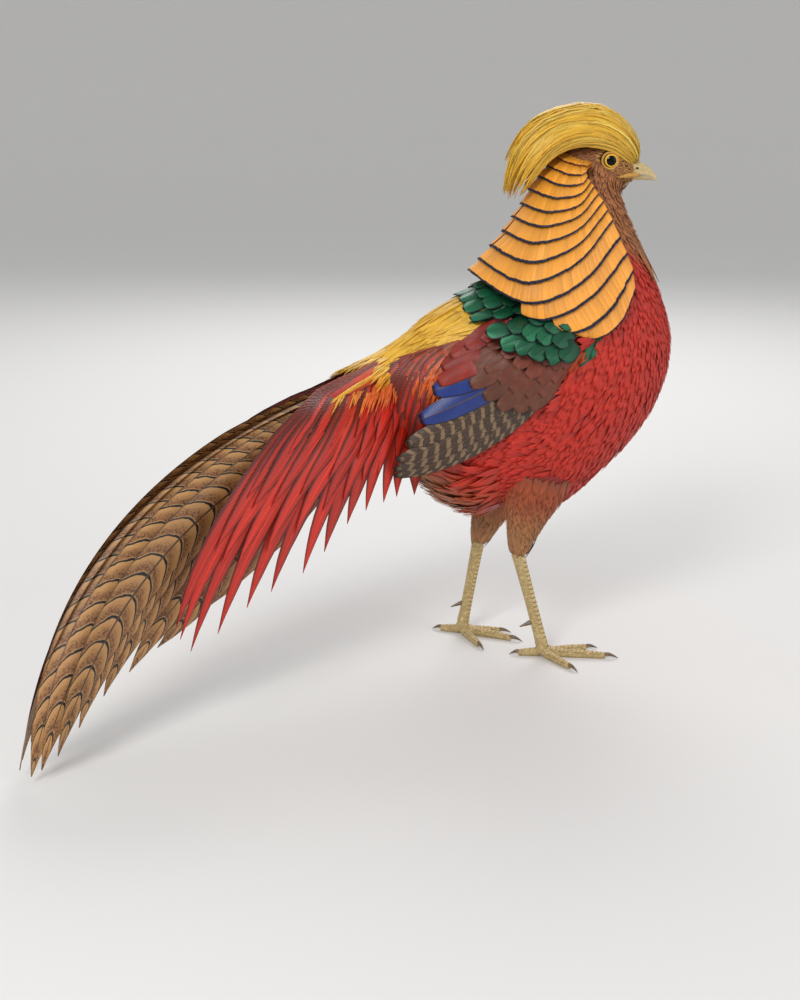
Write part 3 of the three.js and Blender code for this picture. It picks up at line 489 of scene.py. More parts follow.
def vanes(name, place, face, half, tint, finish, slot, thick=0.35, columns=3, camber=0.15, patch=None,
          fray=0.0, side=None):
    """One joined mesh of many feathers. place and face have a row a feather and a column a place along it"""
    count, rows = place.shape[:2]
    ahead = unit(np.gradient(place, axis=1))
    square = unit(np.cross(ahead, face))
    side = square if side is None else unit(side) * np.sign(np.sum(side * square, -1, keepdims=True))
    face = unit(np.cross(square, ahead))
    half = np.broadcast_to(half, (count, rows))
    if fray:
        half = half * (1 + fray * rng.uniform(-1, 1, (count, rows)))
    top = np.linspace(-1, 1, columns)
    ring = np.concatenate([top, top[-2:0:-1]])
    level = np.concatenate([1 - top**2, top[-2:0:-1] ** 2 - 1]) * 0.5
    sides = len(ring)
    height = thick * level - camber * half[..., None] * ring**2
    points = place[:, :, None] + side[:, :, None] * (half[..., None] * ring)[..., None]
    points = points + face[:, :, None] * height[..., None]
    points = ((points + OFFSET) * MM).reshape(-1, 3)

    # Quads round each feather, and a face at its root and its tip
    corners = np.arange(sides)
    first = np.arange(rows - 1)[:, None] * sides + corners
    second = np.arange(rows - 1)[:, None] * sides + (corners + 1) % sides
    quads = np.stack([first, second, second + sides, first + sides], -1).reshape(-1, 4)
    one = np.concatenate([quads.ravel(), corners[::-1], (rows - 1) * sides + corners])
    loops = (one[None] + (np.arange(count) * rows * sides)[:, None]).ravel()
    totals = np.tile(np.concatenate([np.full(len(quads), 4), [sides, sides]]), count)

    mesh = bpy.data.meshes.new(name)
    mesh.vertices.add(len(points))
    fill(mesh.vertices, "co", points)
    mesh.loops.add(len(loops))
    fill(mesh.loops, "vertex_index", loops, np.int32)
    mesh.polygons.add(len(totals))
    fill(mesh.polygons, "loop_start", np.cumsum(totals) - totals, np.int32)
    fill(mesh.polygons, "use_smooth", np.ones(len(totals)), bool)
    mesh.update(calc_edges=True)

    vane = np.stack(np.broadcast_arrays((ring + 1) / 2, np.linspace(0, 1, rows)[:, None]), -1).reshape(-1, 2)
    fill(mesh.uv_layers.new(name="Vane").uv, "vector", np.tile(vane, (count, 1))[loops])
    size = PATCH_SIDE
    if patch is None:
        patches = math.ceil(math.sqrt(count))
        index = np.arange(count)
        patch = np.stack([index % patches, index // patches], -1) / patches
        size = 0.9 / patches
    fill(mesh.uv_layers.new(name="OFBake").uv, "vector", (patch[:, None] + vane * size).reshape(-1, 2)[loops])

    tint = np.asarray(tint, float)
    while tint.ndim < 3:
        tint = np.expand_dims(tint, -2)
    colour = np.ones((count, rows, sides, 4))
    colour[..., :3] = np.broadcast_to(tint, (count, rows, 3))[:, :, None]
    value_layer(mesh, "Tint", colour, "FLOAT_COLOR")
    value_layer(mesh, "Seed", np.repeat(rng.uniform(0, 1, count), rows * sides))
    rim = np.tile(np.abs(ring) == 1, rows * count)
    ends = np.empty(len(mesh.edges) * 2, np.int32)
    mesh.edges.foreach_get("vertices", ends)
    sharp = mesh.attributes.new("sharp_edge", "BOOLEAN", "EDGE")
    fill(sharp.data, "value", rim[ends.reshape(-1, 2)].all(1), bool)
    mesh.materials.append(finish)
    piece = linked(name, mesh)
    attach(piece, "root")
    return piece


def joined(groups):
    """Arrays of places, faces and so on from a list with a tuple for each group of feathers"""
    return [np.concatenate(part) for part in zip(*groups)]


def stacked(feathers):
    """The same from a list with a tuple for each feather"""
    return [np.array(part) for part in zip(*feathers)]


def vary(tint, count, amount=0.12):
    """A slightly different tint for each feather"""
    tint = np.broadcast_to(np.asarray(tint, float), (count, 3))
    return np.clip(tint * (1 + amount * rng.uniform(-1, 1, (count, 1))), 0, 1)


def pace(surface, a, b):
    """How a surface's points move with its first and its second number"""
    e = 1e-3
    along = surface(a + e, b) - surface(a - e, b)
    across = surface(a, b + e) - surface(a, b - e)
    return along / (2 * e), across / (2 * e)


def scattered(surface, spans, spacing, tries):
    """Roots spread evenly over a surface, no two closer than the spacing given there"""
    a, b = (rng.uniform(*span, tries * 3) for span in spans)
    area = np.linalg.norm(np.cross(*pace(surface, a, b)), axis=-1)
    # As many tries for each bit of surface, whatever its place on the guide
    keep = rng.uniform(0, 1, len(a)) < area / np.quantile(area, 0.97)
    a, b = a[keep], b[keep]
    place = surface(a, b)
    gap = spacing(a, b, place)
    grid, chosen = {}, []
    steps = [(u, v, w) for u in (-1, 0, 1) for v in (-1, 0, 1) for w in (-1, 0, 1)]
    cells = np.floor(place / float(gap.max())).astype(int).tolist()
    for i, (cell, (x, y, z), widest) in enumerate(zip(cells, place.tolist(), (gap**2).tolist())):
        near = (grid.get((cell[0] + u, cell[1] + v, cell[2] + w), ()) for u, v, w in steps)
        if all((x - p) ** 2 + (y - q) ** 2 + (z - r) ** 2 >= widest for group in near for p, q, r in group):
            grid.setdefault(tuple(cell), []).append((x, y, z))
            chosen.append(i)
    return a[chosen], b[chosen]


# Finishes
class Value:
    """A node's output, and what further nodes make of it"""

    def __init__(self, look, socket):
        self.look = look
        self.socket = socket

    def math(self, operation, *others):
        return self.look.node("Math", 0, dict(enumerate((self, *others))), operation=operation)

    def __add__(self, other):
        return self.math("ADD", other)

    def __sub__(self, other):
        return self.math("SUBTRACT", other)

    def __mul__(self, other):
        return self.math("MULTIPLY", other)

    def step(self, start, end):
        inputs = {0: self, 1: start, 2: end, 3: 0.0, 4: 1.0}
        return self.look.node("MapRange", 0, inputs, interpolation_type="SMOOTHSTEP")

    def dimmed(self, share):
        return self.look.node("VectorMath", 0, {0: self, "Scale": share}, operation="SCALE")

    def tinted(self, tint):
        return self.look.node("VectorMath", 0, {0: self, 1: tint}, operation="MULTIPLY")

    def painted(self, share, colour):
        """Another colour laid over this one"""
        return self.look.mix(share, self, colour)


class Finish:
    """A material whose nodes are added one after another"""

    def __init__(self, name, roughness, **sockets):
        self.material = bpy.data.materials.new(name)
        self.material.use_nodes = True
        self.tree = self.material.node_tree
        self.shader = self.tree.nodes["Principled BSDF"]
        for socket, value in dict(sockets, Roughness=roughness).items():
            self.shader.inputs[socket.replace("_", " ")].default_value = value

    def node(self, kind, output=0, inputs=(), **settings):
        node = self.tree.nodes.new("ShaderNode" + kind)
        for key, value in settings.items():
            setattr(node, key, value)
        for key, value in dict(inputs).items():
            if isinstance(value, Value):
                self.tree.links.new(value.socket, node.inputs[key])
            else:
                node.inputs[key].default_value = (*value, 1) if isinstance(value, tuple) else value
        return Value(self, node.outputs[output])

    def spot(self):
        return self.node("TexCoord", "Object")

    def axis(self, letter, vector):
        return self.node("SeparateXYZ", letter, {0: vector})

    def noise(self, scale, detail=3.0, roughness=0.5):
        inputs = {"Vector": self.spot(), "Scale": scale, "Detail": detail, "Roughness": roughness}
        return self.node("TexNoise", 0, inputs)

    def mix(self, share, first, second):
        return self.node("Mix", 2, {0: share, 6: first, 7: second}, data_type="RGBA")

    def attribute(self, name, output=0):
        return self.node("Attribute", output, attribute_name=name)

    def vane(self):
        """Place across the feather from 0 at the quill to 1 at the edge, and along it from root to tip"""
        spot = self.node("UVMap", uv_map="Vane")
        return (self.axis("X", spot) - 0.5).math("ABSOLUTE") * 2.0, self.axis("Y", spot)

    def barbs(self, across, along, rows, slant):
        """Fine ridges that run out from the quill towards the tip"""
        phase = along * rows - across * slant + self.attribute("Seed", "Fac") * 7.0
        return (phase * (2 * math.pi)).math("SINE") * 0.5 + 0.5

    def finish(self, colour, height=None, strength=0.3, distance=0.0004):
        if isinstance(colour, tuple):
            self.shader.inputs["Base Color"].default_value = (*colour, 1)
        else:
            self.tree.links.new(colour.socket, self.shader.inputs["Base Color"])
        if height is not None:
            bump = self.node("Bump", 0, {"Height": height, "Strength": strength, "Distance": distance})
            self.tree.links.new(bump.socket, self.shader.inputs["Normal"])
        return self.material


def plain_plume(name, roughness, rows, slant, quill=0.6, edge=0.0, edge_tint=None, root=0.62, hem=1.0,
                **more):
    """Barbed plumage in the feather's own tint, with painted shade dimming the root where it lies under other
    feathers, and darker along the quill
    """
    look = Finish(name, roughness, **more)
    across, along = look.vane()
    wave = look.barbs(across, along, rows, slant)
    tint = look.attribute("Tint")
    # Painted shade: the root, which lies under the feathers above it, is dimmed to the share root and
    # brightens towards the tip
    light = along.step(0.0, 0.8) * (1.0 - root) + root
    colour = tint.dimmed((wave * 0.3 + 0.76) * light).painted(across.step(0.09, 0.03), tint.dimmed(quill))
    # The outer part of each vane is dimmed to the share hem near its edges: partly the plumes' own darker
    # edges, partly painted shade between overlapping plumes
    if hem < 1:
        colour = colour.painted(across.step(0.58, 0.92) * along.step(0.0, 0.5), colour.dimmed(hem))
    if edge:
        rim = along.step(1 - edge * 0.5, 1 - edge * 0.3)
        colour = colour.painted(rim.math("MAXIMUM", across.step(1 - edge, 1 - edge * 0.6)), edge_tint)
    return look.finish(colour, wave)


BODY_PLUME = plain_plume("body plumage", 0.5, 9, 2.5)
HAIR_PLUME = plain_plume("silky plumage", 0.36, 6, 1.5, root=0.7)
FACE_PLUME = plain_plume("face plumage", 0.6, 5, 1.5, root=0.55)
# Edges darkened partly as the plumes' own colour, partly as painted shade between plumes; roots dimmed as
# painted shade
RED_PLUME = plain_plume("scarlet plumes", 0.42, 60, 5, quill=1.5, root=0.75, hem=0.2)
SCALE_PLUME = plain_plume(
    "mantle scales", 0.32, 14, 4, edge=0.16, edge_tint=(0.003, 0.006, 0.010), root=0.55, Metallic=0.35
)


def cape_finish():
    look = Finish("cape plumage", 0.4)
    across, along = look.vane()
    wave = look.barbs(across, along, 22, 3)
    colour = look.attribute("Tint").dimmed(wave * 0.24 + (along.step(0.45, 0.9) * 0.24 + 0.66))
    colour = colour.painted(across.step(0.82, 1.0), (0.55, 0.14, 0.012))
    bar = (along + wave * 0.006).step(0.934, 0.944)
    return look.finish(colour.painted(bar, (0.006, 0.009, 0.030)), wave)


def wing_finish(name, ground, bar, count, roughness=0.42, share=0.8, hem=0.85):
    """A flight feather with pale bars across its vane and a dark rim"""
    look = Finish(name, roughness)
    across, along = look.vane()
    wave = look.barbs(across, along, 70, 6)
    noise = look.noise(620.0, 4.0)
    beat = (along * count + across * -0.45 + noise * 0.5).math("FRACT")
    light = beat.step(0.56, 0.64) * beat.step(0.98, 0.9)
    mask = light.math("MAXIMUM", noise.step(0.58, 0.66) * 0.5) * share
    rim = along.step(0.955, 0.985).math("MAXIMUM", across.step(0.88, 0.97))
    colour = look.mix(mask, ground, bar).painted(rim * hem, (0.008, 0.006, 0.006))
    colour = colour.painted(across.step(0.07, 0.03), (0.10, 0.06, 0.035))
    return look.finish(colour.tinted(look.attribute("Tint").dimmed(wave * 0.25 + 0.8)), wave)


def tail_finish():
    """Buff feathers with arched dark bars and dark flecks between them"""
    look = Finish("tail plumage", 0.45)
    across, along = look.vane()
    wave = look.barbs(across, along, 210, 10)
    bars = along.math("POWER", 0.75) * look.attribute("Bars", "Fac") - across.math("POWER", 2.0) * 0.95
    beat = (bars + look.attribute("Seed", "Fac") + look.noise(110.0) * 0.3).math("FRACT")
    fleck = look.noise(640.0, 5.0, 0.65).step(0.49, 0.56) * beat.step(0.1, 0.7)
    colour = look.mix(beat.step(0.0, 0.75), (0.52, 0.27, 0.095), (0.30, 0.125, 0.040))
    for share, tint in (
        (fleck * 0.8, (0.050, 0.022, 0.010)),
        (beat.step(0.76, 0.85) * 0.55, (0.60, 0.38, 0.17)),
        (beat.step(0.84, 0.88) * beat.step(0.995, 0.97), (0.010, 0.006, 0.005)),
        (across.step(0.9, 0.98) * 0.7, (0.03, 0.015, 0.008)),
        (across.step(0.06, 0.03), (0.08, 0.04, 0.02)),
    ):
        colour = colour.painted(share, tint)
    return look.finish(colour.tinted(look.attribute("Tint")), wave)


# Objects
def only(piece):
    """Selects this object alone"""
    bpy.ops.object.select_all(action="DESELECT")
    piece.select_set(True)
    bpy.context.view_layer.objects.active = piece


def mode(name):
    bpy.ops.object.mode_set(mode=name)


def to_frame(point):
    return Vector((np.asarray(point) + OFFSET) * MM)


def applied(piece, kind, **settings):
    modifier = piece.modifiers.new(kind.lower(), kind)
    for key, value in settings.items():
        setattr(modifier, key, value)
    bpy.context.view_layer.objects.active = piece
    bpy.ops.object.modifier_apply(modifier=modifier.name)


def dressed(piece, finish, slot, *nodes):
    piece.data.materials.clear()
    piece.data.materials.append(finish)
    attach(piece, "root")
    if nodes:
        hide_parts(*nodes)
    return piece


def cleaned_copy(name, nodes):
    """One object from copies of these nodes, with their triangles joined at the corners"""
    bpy.ops.object.select_all(action="DESELECT")
    for node in nodes:
        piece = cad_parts[node].copy()
        piece.data = piece.data.copy()
        piece.parent = None
        for key in list(piece.keys()):
            del piece[key]
        piece.data.materials.clear()
        bpy.context.scene.collection.objects.link(piece)
        piece.select_set(True)
        bpy.context.view_layer.objects.active = piece
    if len(nodes) > 1:
        bpy.ops.object.join()
    piece = bpy.context.active_object
    piece.name = piece.data.name = name
    mode("EDIT")
    bpy.ops.mesh.select_all(action="SELECT")
    bpy.ops.mesh.remove_doubles(threshold=1e-6)
    mode("OBJECT")
    return piece


def moulded(name, nodes, voxel, rounds, inset, added=()):
    """Copies of nodes and added forms melted into one smooth skin, drawn in by the inset"""
    piece = cleaned_copy(name, nodes)
    only(piece)
    for form in added:
        form.select_set(True)
    if added:
        bpy.ops.object.join()
    applied(piece, "REMESH", mode="VOXEL", voxel_size=voxel * MM)
    applied(piece, "SMOOTH", factor=0.6, iterations=rounds)
    applied(piece, "DISPLACE", strength=-inset * MM, mid_level=0)
    only(piece)
    bpy.ops.object.shade_smooth()
    return piece


# Skin under the plumage
def skin_shade_finish():
    """Skin in much darker colours of the plumage over it, as painted shade of the plumage's depths, so that
    no gap shows
    """
    look = Finish("skin", 0.7)
    height = look.axis("Z", look.spot()).math("DIVIDE", MM)
    # Painted shade: these colours are much darker than the plumage over them, for the depths seen between
    # feathers
    colour = look.mix(height.step(105.0, 150.0), (0.16, 0.06, 0.03), (0.22, 0.012, 0.008))
    colour = colour.painted(height.step(325.0, 375.0), (0.20, 0.075, 0.03))
    return look.finish(colour, look.noise(500.0), 0.4, 0.0005)


FLESH = ("torso", "neck", "head", "thigh_right", "thigh_left")
SKIN_VOXEL, SKIN_ROUNDS, SKIN_INSET = 2.6, 5, 1.2
dressed(moulded("skin", FLESH, SKIN_VOXEL, SKIN_ROUNDS, SKIN_INSET), skin_shade_finish(), "body", *FLESH)


# Small feathers of the body, head and thighs
def coat(name, surface, spans, spacing, tries, size, tint, finish, slot, chart, outward, shares, lift,
         flow=-1, keep=None, rows=5, wander=0.12):
    """Feathers scattered over a surface and lying along it, with flow to larger or smaller places. size gives
    length and half width, lift the height of root and tip above the surface"""
    a, b = scattered(surface, spans, spacing, tries)
    place = surface(a, b)
    if keep is not None:
        kept = keep(a, b, place)
        a, b, place = a[kept], b[kept], place[kept]
    count = len(a)
    length, half = size(a, b, place)
    length = length * rng.uniform(0.85, 1.15, count)
    s = np.linspace(0, 1, rows)[None]
    turn = rng.normal(0, wander, count)[:, None]
    reach_a, reach_b = (
        s * (length / np.maximum(np.linalg.norm(step, axis=-1), 2))[:, None] for step in pace(surface, a, b)
    )
    a_path = a[:, None] + flow * reach_a * np.cos(turn)
    b_path = b[:, None] + reach_b * np.sin(turn)
    rise = (lift[0] + (lift[1] - lift[0]) * s**0.8) + rng.uniform(-0.5, 0.5, (count, 1)) * s
    place_rows, face = quills(surface, a_path, b_path, rise, outward, 0.004)
    tints = vary(tint(a, b, place), count, 0.14)
    return vanes(
        name, place_rows, face, profile(half, shares, rows), tints, finish, slot, thick=0.3,
        patch=chart(a, b), fray=0.05,
    )


def bake_chart(left, wide, low, tall):
    """Where each feather of a guide lies in the bake map"""
    return lambda a, b: np.stack([left + (b / math.pi + 1) * wide, low + a * tall], -1)


BODY_CHART = bake_chart(0, 0.3, 0, 1 / 15.2)
ALL_ROUND = (-math.pi, math.pi)
SILKY_SHAPE = [0.4, 0.9, 1, 0.95, 0.6, 0.06]
# Body feathers by place: spacing, length, half width
BODY_SIZES = np.array([
    [0, 3.7, 24, 2.6], [3, 3.7, 21, 2.9], [8, 3.6, 18, 2.8], [10.5, 3.0, 14, 2.1], [12, 2.3, 10, 1.5],
    [15, 1.9, 7, 1.1],
])


def body_size(column, place):
    return np.interp(place, BODY_SIZES[:, 0], BODY_SIZES[:, column])


# Places along the body where the belly and the back end, and where the cape begins to hide it
BELLY_END, BACK_END, UNDER_CAPE = 5.6, 9.4, 8.6


def body_tint(place, turn, spot):
    """Scarlet below, golden on the rump, rust at the throat, buff between the legs, green at the mantle"""
    top = np.cos(turn)
    colour = np.broadcast_to(SCARLET, (*place.shape, 3))
    colour = blend(smooth(spot[..., 2], 162, 132) * smooth(place, 5, 3), colour, (0.36, 0.12, 0.04))
    colour = blend(smooth(place, 10.7, 11.7), colour, RUST)
    colour = blend(smooth(top, 0.05, 0.4) * smooth(place, 8.5, 7.0), colour, GOLD)
    colour = blend(smooth(top, 0.3, 0.8) * smooth(place, 1.6, 0.4), colour, ORANGE_RED)
    green = (past_mantle(place, turn) > 0.7) & (place < 9) & (np.abs(turn) < 1.5)
    return blend(green.astype(float), colour, GREEN)


def body_part(place, turn):
    """The piece a body feather belongs to, as its number in BODY_PARTS"""
    return np.select([(np.cos(turn) > 0.1) & (place < BACK_END), place <= BELLY_END, turn < 0], [0, 3, 1], 2)


BODY_PARTS = ("back_feathers", "breast_feathers", "breast_feathers_left", "belly_feathers")
for number, part in enumerate(BODY_PARTS):
    coat(
        part, body_point, ((0.05, 14.9), ALL_ROUND), lambda a, b, p: body_size(1, a), 60000,
        lambda a, b, p: (body_size(2, a), body_size(3, a)), body_tint, BODY_PLUME, "body", BODY_CHART,
        outward_from(20, 0, 250) if number else outward_from(0, 0, 200), (0.5, 1, 0.95, 0.7, 0.12),
        (-1.8, 0.7),
        keep=lambda a, b, p: (
            (body_part(a, b) == number) & ~((np.cos(b) > -0.2) & (a > UNDER_CAPE) & (p[:, 0] < 40))
        ),
    )

# Long loose plumes over the back and rump, and the fluff that sweeps back under the belly
coat(
    "back_plumes", body_point, ((2.9, 6.4), (-1.2, 1.2)), lambda a, b, p: 4.6 + 0 * a, 9000,
    lambda a, b, p: (42 + 0 * a, 2.4 + 0 * a), lambda a, b, p: GOLD, HAIR_PLUME, "body", BODY_CHART,
    outward_from(0, 0, 200), (0.4, 0.9, 1, 0.9, 0.5, 0.06), (-1.0, 2.6),
    keep=lambda a, b, p: past_mantle(a, b) < 0.75, rows=8, wander=0.14,
)
RUMP_COUNT, RUMP_ROWS = 620, 9
rump_place, rump_turn = rng.uniform(1.0, 3.7, RUMP_COUNT), rng.uniform(-1.0, 1.0, RUMP_COUNT)
start = body_point(rump_place, rump_turn)
onward = unit(start - body_point(rump_place + 0.3, rump_turn))
reach = rng.uniform(38, 54, RUMP_COUNT)
# They leave along the back and arrive along the vault of the tail's cover plumes
back = TAIL_START[0] - start[:, 0] + reach * 0.92
drop = VAULT_DROP * (1 - np.cos(rump_turn)) + 12 * smooth(np.abs(rump_turn), 0.6, 1.0)
end = tail_point(back, -np.sin(rump_turn) * (table_at(VAULT, back) + 4), table_at(RIDGE, back) + 5 - drop)
arrive = unit(tail_point(back + 8, -np.sin(rump_turn) * 44, table_at(RIDGE, back + 8) + 1 - drop) - end)
s = np.linspace(0, 1, RUMP_ROWS)[None]
start, onward, end, arrive = (each[:, None] for each in (start, onward, end, arrive))
handle = (reach * 0.38)[:, None, None]
line = bezier((start, start + onward * handle, end - arrive * handle, end), s)
face = unit(line - np.array([-95, 0, 225]))
s = s[..., None]
line = line + face * (-1.2 + 3.0 * s + rng.uniform(-0.6, 0.6, (RUMP_COUNT, 1, 1)) * s)
tint = blend(smooth(np.abs(rump_turn) - 0.2 * rump_place, 0.1, 0.75), GOLD, (0.80, 0.16, 0.015))
vanes(
    "rump_plumes", line, face, profile(2.5, SILKY_SHAPE, RUMP_ROWS), vary(tint, RUMP_COUNT, 0.16), HAIR_PLUME,
    "body", thick=0.4, camber=0.2,
)
vent = coat(
    "belly_fluff", body_point, ((2.0, 3.9), (math.pi - 1.1, math.pi + 1.1)),
    lambda a, b, p: 5.4 + 0 * a, 7000,
    lambda a, b, p: (np.interp(a, [2.0, 3, 3.9], [26, 30, 24]), 3.3 + 0 * a),
    lambda a, b, p: blend(smooth(a, 4.4, 2.6) * smooth(-np.cos(b), 0.4, 0.9), SCARLET, (0.44, 0.16, 0.05)),
    HAIR_PLUME, "thighs", BODY_CHART, outward_from(0, 0, 230), (0.4, 0.9, 1, 0.8, 0.4, 0.04), (-1.2, 7.5),
    rows=8, wander=0.3,
)
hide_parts("vent_tuft")

eye_axis = {side: unit(from_head(2.0, side * 12.0, 0.0) - from_head(0.0, 0.0, 0.0)) for _, side in SIDES}
eye_middle = {side: from_head(EYE["ahead"], side * EYE["out"], EYE["up"]) for _, side in SIDES}


def off_axis(place, start, axis):
    """How far and which way a place lies beside an axis"""
    away = place - start
    return away - np.sum(away * axis, -1, keepdims=True) * axis


def beside_eye(spot, side):
    """Distance from an eye's axis, and whether the place lies outward of the eye's middle"""
    gap = np.linalg.norm(off_axis(spot, eye_middle[side], eye_axis[side]), axis=-1)
    return gap, (spot - eye_middle[side]) @ eye_axis[side] > 0


def eye_gap(spot):
    """Distance from the nearer eye's axis"""
    both_eyes = (beside_eye(spot, side) for _, side in SIDES)
    return np.minimum(*(np.where(outer, gap, 99) for gap, outer in both_eyes))


def head_keep(place, turn, spot):
    """Places below the crest's edge and clear of eye and bill"""
    edge = np.interp(spot[:, 0], CREST[::-1, 2], CREST[::-1, 4])
    return (eye_gap(spot) > 8.0) & (spot[:, 2] < edge + 3) & (place < 8.9)


def head_tint(place, turn, spot):
    """Rusty cheeks, paler before the eye, with a browner patch over the ear"""
    face = blend(smooth(place, 5.2, 7.5), np.broadcast_to(RUST, (*place.shape, 3)), (0.56, 0.27, 0.08))
    ear = np.linalg.norm((spot - from_head(-17, 0, -3)) * (1, 0, 1.3), axis=-1)
    face = blend(smooth(ear, 13, 5) * 0.8, face, (0.25, 0.13, 0.07))
    return blend(smooth(eye_gap(spot), 10.5, 8.3) * 0.7, face, (0.62, 0.36, 0.09))


coat(
    "face_feathers", head_point, ((0.3, 8.95), ALL_ROUND),
    lambda a, b, p: np.clip(np.minimum(1.75 - 0.09 * a, 0.7 + 0.06 * eye_gap(p)), 0.85, 1.8), 40000,
    lambda a, b, p: (np.clip(7.4 - 0.55 * a, 2.3, 7.4), np.clip(1.0 - 0.05 * a, 0.5, 1.0)),
    head_tint, FACE_PLUME, "face", bake_chart(0.62, 0.18, 0.55, 0.045), outward_from(66, 0, 428),
    (0.5, 1, 0.8, 0.12), (-0.9, 0.35), keep=head_keep, rows=4,
)

FRINGE_COUNT, FRINGE_ROWS = 54, 7
for name, leg in LEGS.items():
    hip, ankle, thigh = leg["hip"], leg["ankle"], thigh_point(leg)
    axis = unit(ankle - hip)
    coat(
        f"thigh_feathers_{name}", thigh, ((0.02, 0.99), ALL_ROUND), lambda a, b, p: 3.1 - 1.2 * a, 12000,
        lambda a, b, p: (np.interp(a, [0, 0.7, 1], [17, 13, 10]), 2.4 - 1.0 * a),
        lambda a, b, p: blend(smooth(a, 0.1, 0.7), (0.40, 0.075, 0.02), THIGH_BUFF),
        BODY_PLUME, "thighs", bake_chart(0.62, 0.18, 0.05, 0.4), lambda place: off_axis(place, hip, axis),
        (0.5, 1, 0.9, 0.6, 0.1), (-1.4, 0.8), flow=1,
    )

    # A fringe hangs over the top of the shank
    one = np.arange(FRINGE_COUNT)
    roots = thigh(np.linspace(0.66, 0.88, FRINGE_COUNT), one * 2.4)
    away = unit(off_axis(roots, hip, axis))
    fall = rng.uniform(-6, 2, (FRINGE_COUNT, 1)) + 4 * (one % 3 == 0)[:, None]
    tips = ankle + unit(leg["foot"] - ankle) * fall + away * 5.6
    s = np.linspace(0, 1, FRINGE_ROWS)[None, :, None]
    place = roots[:, None] * (1 - s) + tips[:, None] * s + away[:, None] * np.sin(math.pi * s) * 1.6
    vanes(
        f"thigh_fringe_{name}", place, np.repeat(away[:, None], FRINGE_ROWS, 1),
        profile(1.7, [0.6, 1, 1, 0.8, 0.08], FRINGE_ROWS), vary(THIGH_BUFF, FRINGE_COUNT, 0.2), HAIR_PLUME,
        "thighs", thick=0.4, camber=0.25,
    )

# Crest: silky strands that gather into pointed locks behind
CREST_STRANDS, CREST_LOCKS, CREST_ROWS = 2700, 13, 8
along_from = rng.uniform(-0.1, 5.8, CREST_STRANDS)
across_from = rng.uniform(-1, 1, CREST_STRANDS)
lock = np.round(across_from * CREST_LOCKS / 2 + rng.normal(0, 0.25, CREST_STRANDS)) / (CREST_LOCKS / 2)
stray = np.abs(across_from - lock) * CREST_LOCKS
reach = along_from + rng.uniform(3.4, 5.2, CREST_STRANDS)
lock_end = 9.35 + 0.6 * np.abs(np.cos(lock * 8.5)) - 0.95 * np.minimum(stray, 1.1)
reach = np.minimum(reach, lock_end + rng.normal(0, 0.08, CREST_STRANDS))
# Some strands of the upper locks end earlier and stand out
early = rng.uniform(0, 1, CREST_STRANDS) < 0.12
early_end = 6.8 + 1.9 * np.mod(lock * 4.3 + 0.2, 1.0) - 0.4 * stray
reach = np.where(early & (np.abs(lock) < 0.45), early_end, reach)
along_from = np.minimum(along_from, reach - 2.2)
s = np.linspace(0, 1, CREST_ROWS)[None]
along = along_from[:, None] + (reach - along_from)[:, None] * s
early = early[:, None]
pull = np.where(early, s**2 * 0.85, smooth(along, 5.2, 9.7) * 0.92)
across = across_from[:, None] + (np.clip(lock, -0.99, 0.99) - across_from)[:, None] * pull
depth = rng.uniform(0, 1, CREST_STRANDS)[:, None]
rise = -2.8 * depth + 0.9 * (1 - depth) * np.sin(math.pi * s) + np.where(early, 3.6 * s**1.5, 0)
crest_quills = quills(crest_point, along, across, rise, outward_from(50, 0, 430))
crest_shade = rng.uniform(0, 1, CREST_STRANDS) ** 1.5 * np.cos(lock * 31) ** 2
crest = vanes(
    "crest_plumes", *crest_quills,
    profile(rng.uniform(0.55, 1.05, CREST_STRANDS), [0.5, 1, 1, 0.9, 0.6, 0.06], CREST_ROWS),
    vary(blend(crest_shade, GOLD, PALE_GOLD), CREST_STRANDS, 0.22), HAIR_PLUME, "crest",
    thick=0.4, camber=0.35,
)
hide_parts("crest")

# Cape: tiers of broad feathers with square dark-barred ends. The lowest leave the middle of the back bare
CAPE_BARE = {9: 0.40, 10: 0.55, 11: 0.62}
CAPE_ROWS = 11
tiers = []
for tier in range(-1, 12):
    rim_length = length_along(cape_point(tier, np.linspace(-1, 1, CAPE_COLUMNS)))[-1]
    count = int(rim_length / 5.0)
    spots = (np.arange(count) + 0.5) / count * 2 - 1
    spots = spots[np.abs(spots) > CAPE_BARE.get(tier, 0)]
    s = np.linspace(0, 1, CAPE_ROWS)[None]
    stop = tier + rng.normal(0, 0.012, len(spots))[:, None]
    a = max(tier - 2.3, -1.9) * (1 - s) + stop * s
    b = np.repeat(spots[:, None], CAPE_ROWS, 1)
    lift = -4.2 + 4.7 * s + (np.arange(len(spots))[:, None] % 2) * 0.4 * s
    half = profile(rim_length / count * 0.66, [0.4, 0.6, 0.85, 0.97, 1, 1, 0.97], CAPE_ROWS)
    tint = blend(np.array(tier / 14), (0.88, 0.36, 0.035), CAPE_ORANGE)
    tiers.append((
        *quills(cape_point, a, b, lift, outward_from(60, 0, 380 - 7 * tier)), np.repeat(half, len(spots), 0),
        vary(tint, len(spots)), cape_point(a, b + 0.01) - cape_point(a, b - 0.01),
    ))
rows, faces, half, tint, sides = joined(tiers)
cape = vanes(
    "cape_feathers", rows, faces, half, tint, cape_finish(), "cape",
    thick=0.4, columns=5, camber=0.14, side=sides,
)
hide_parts("cape")

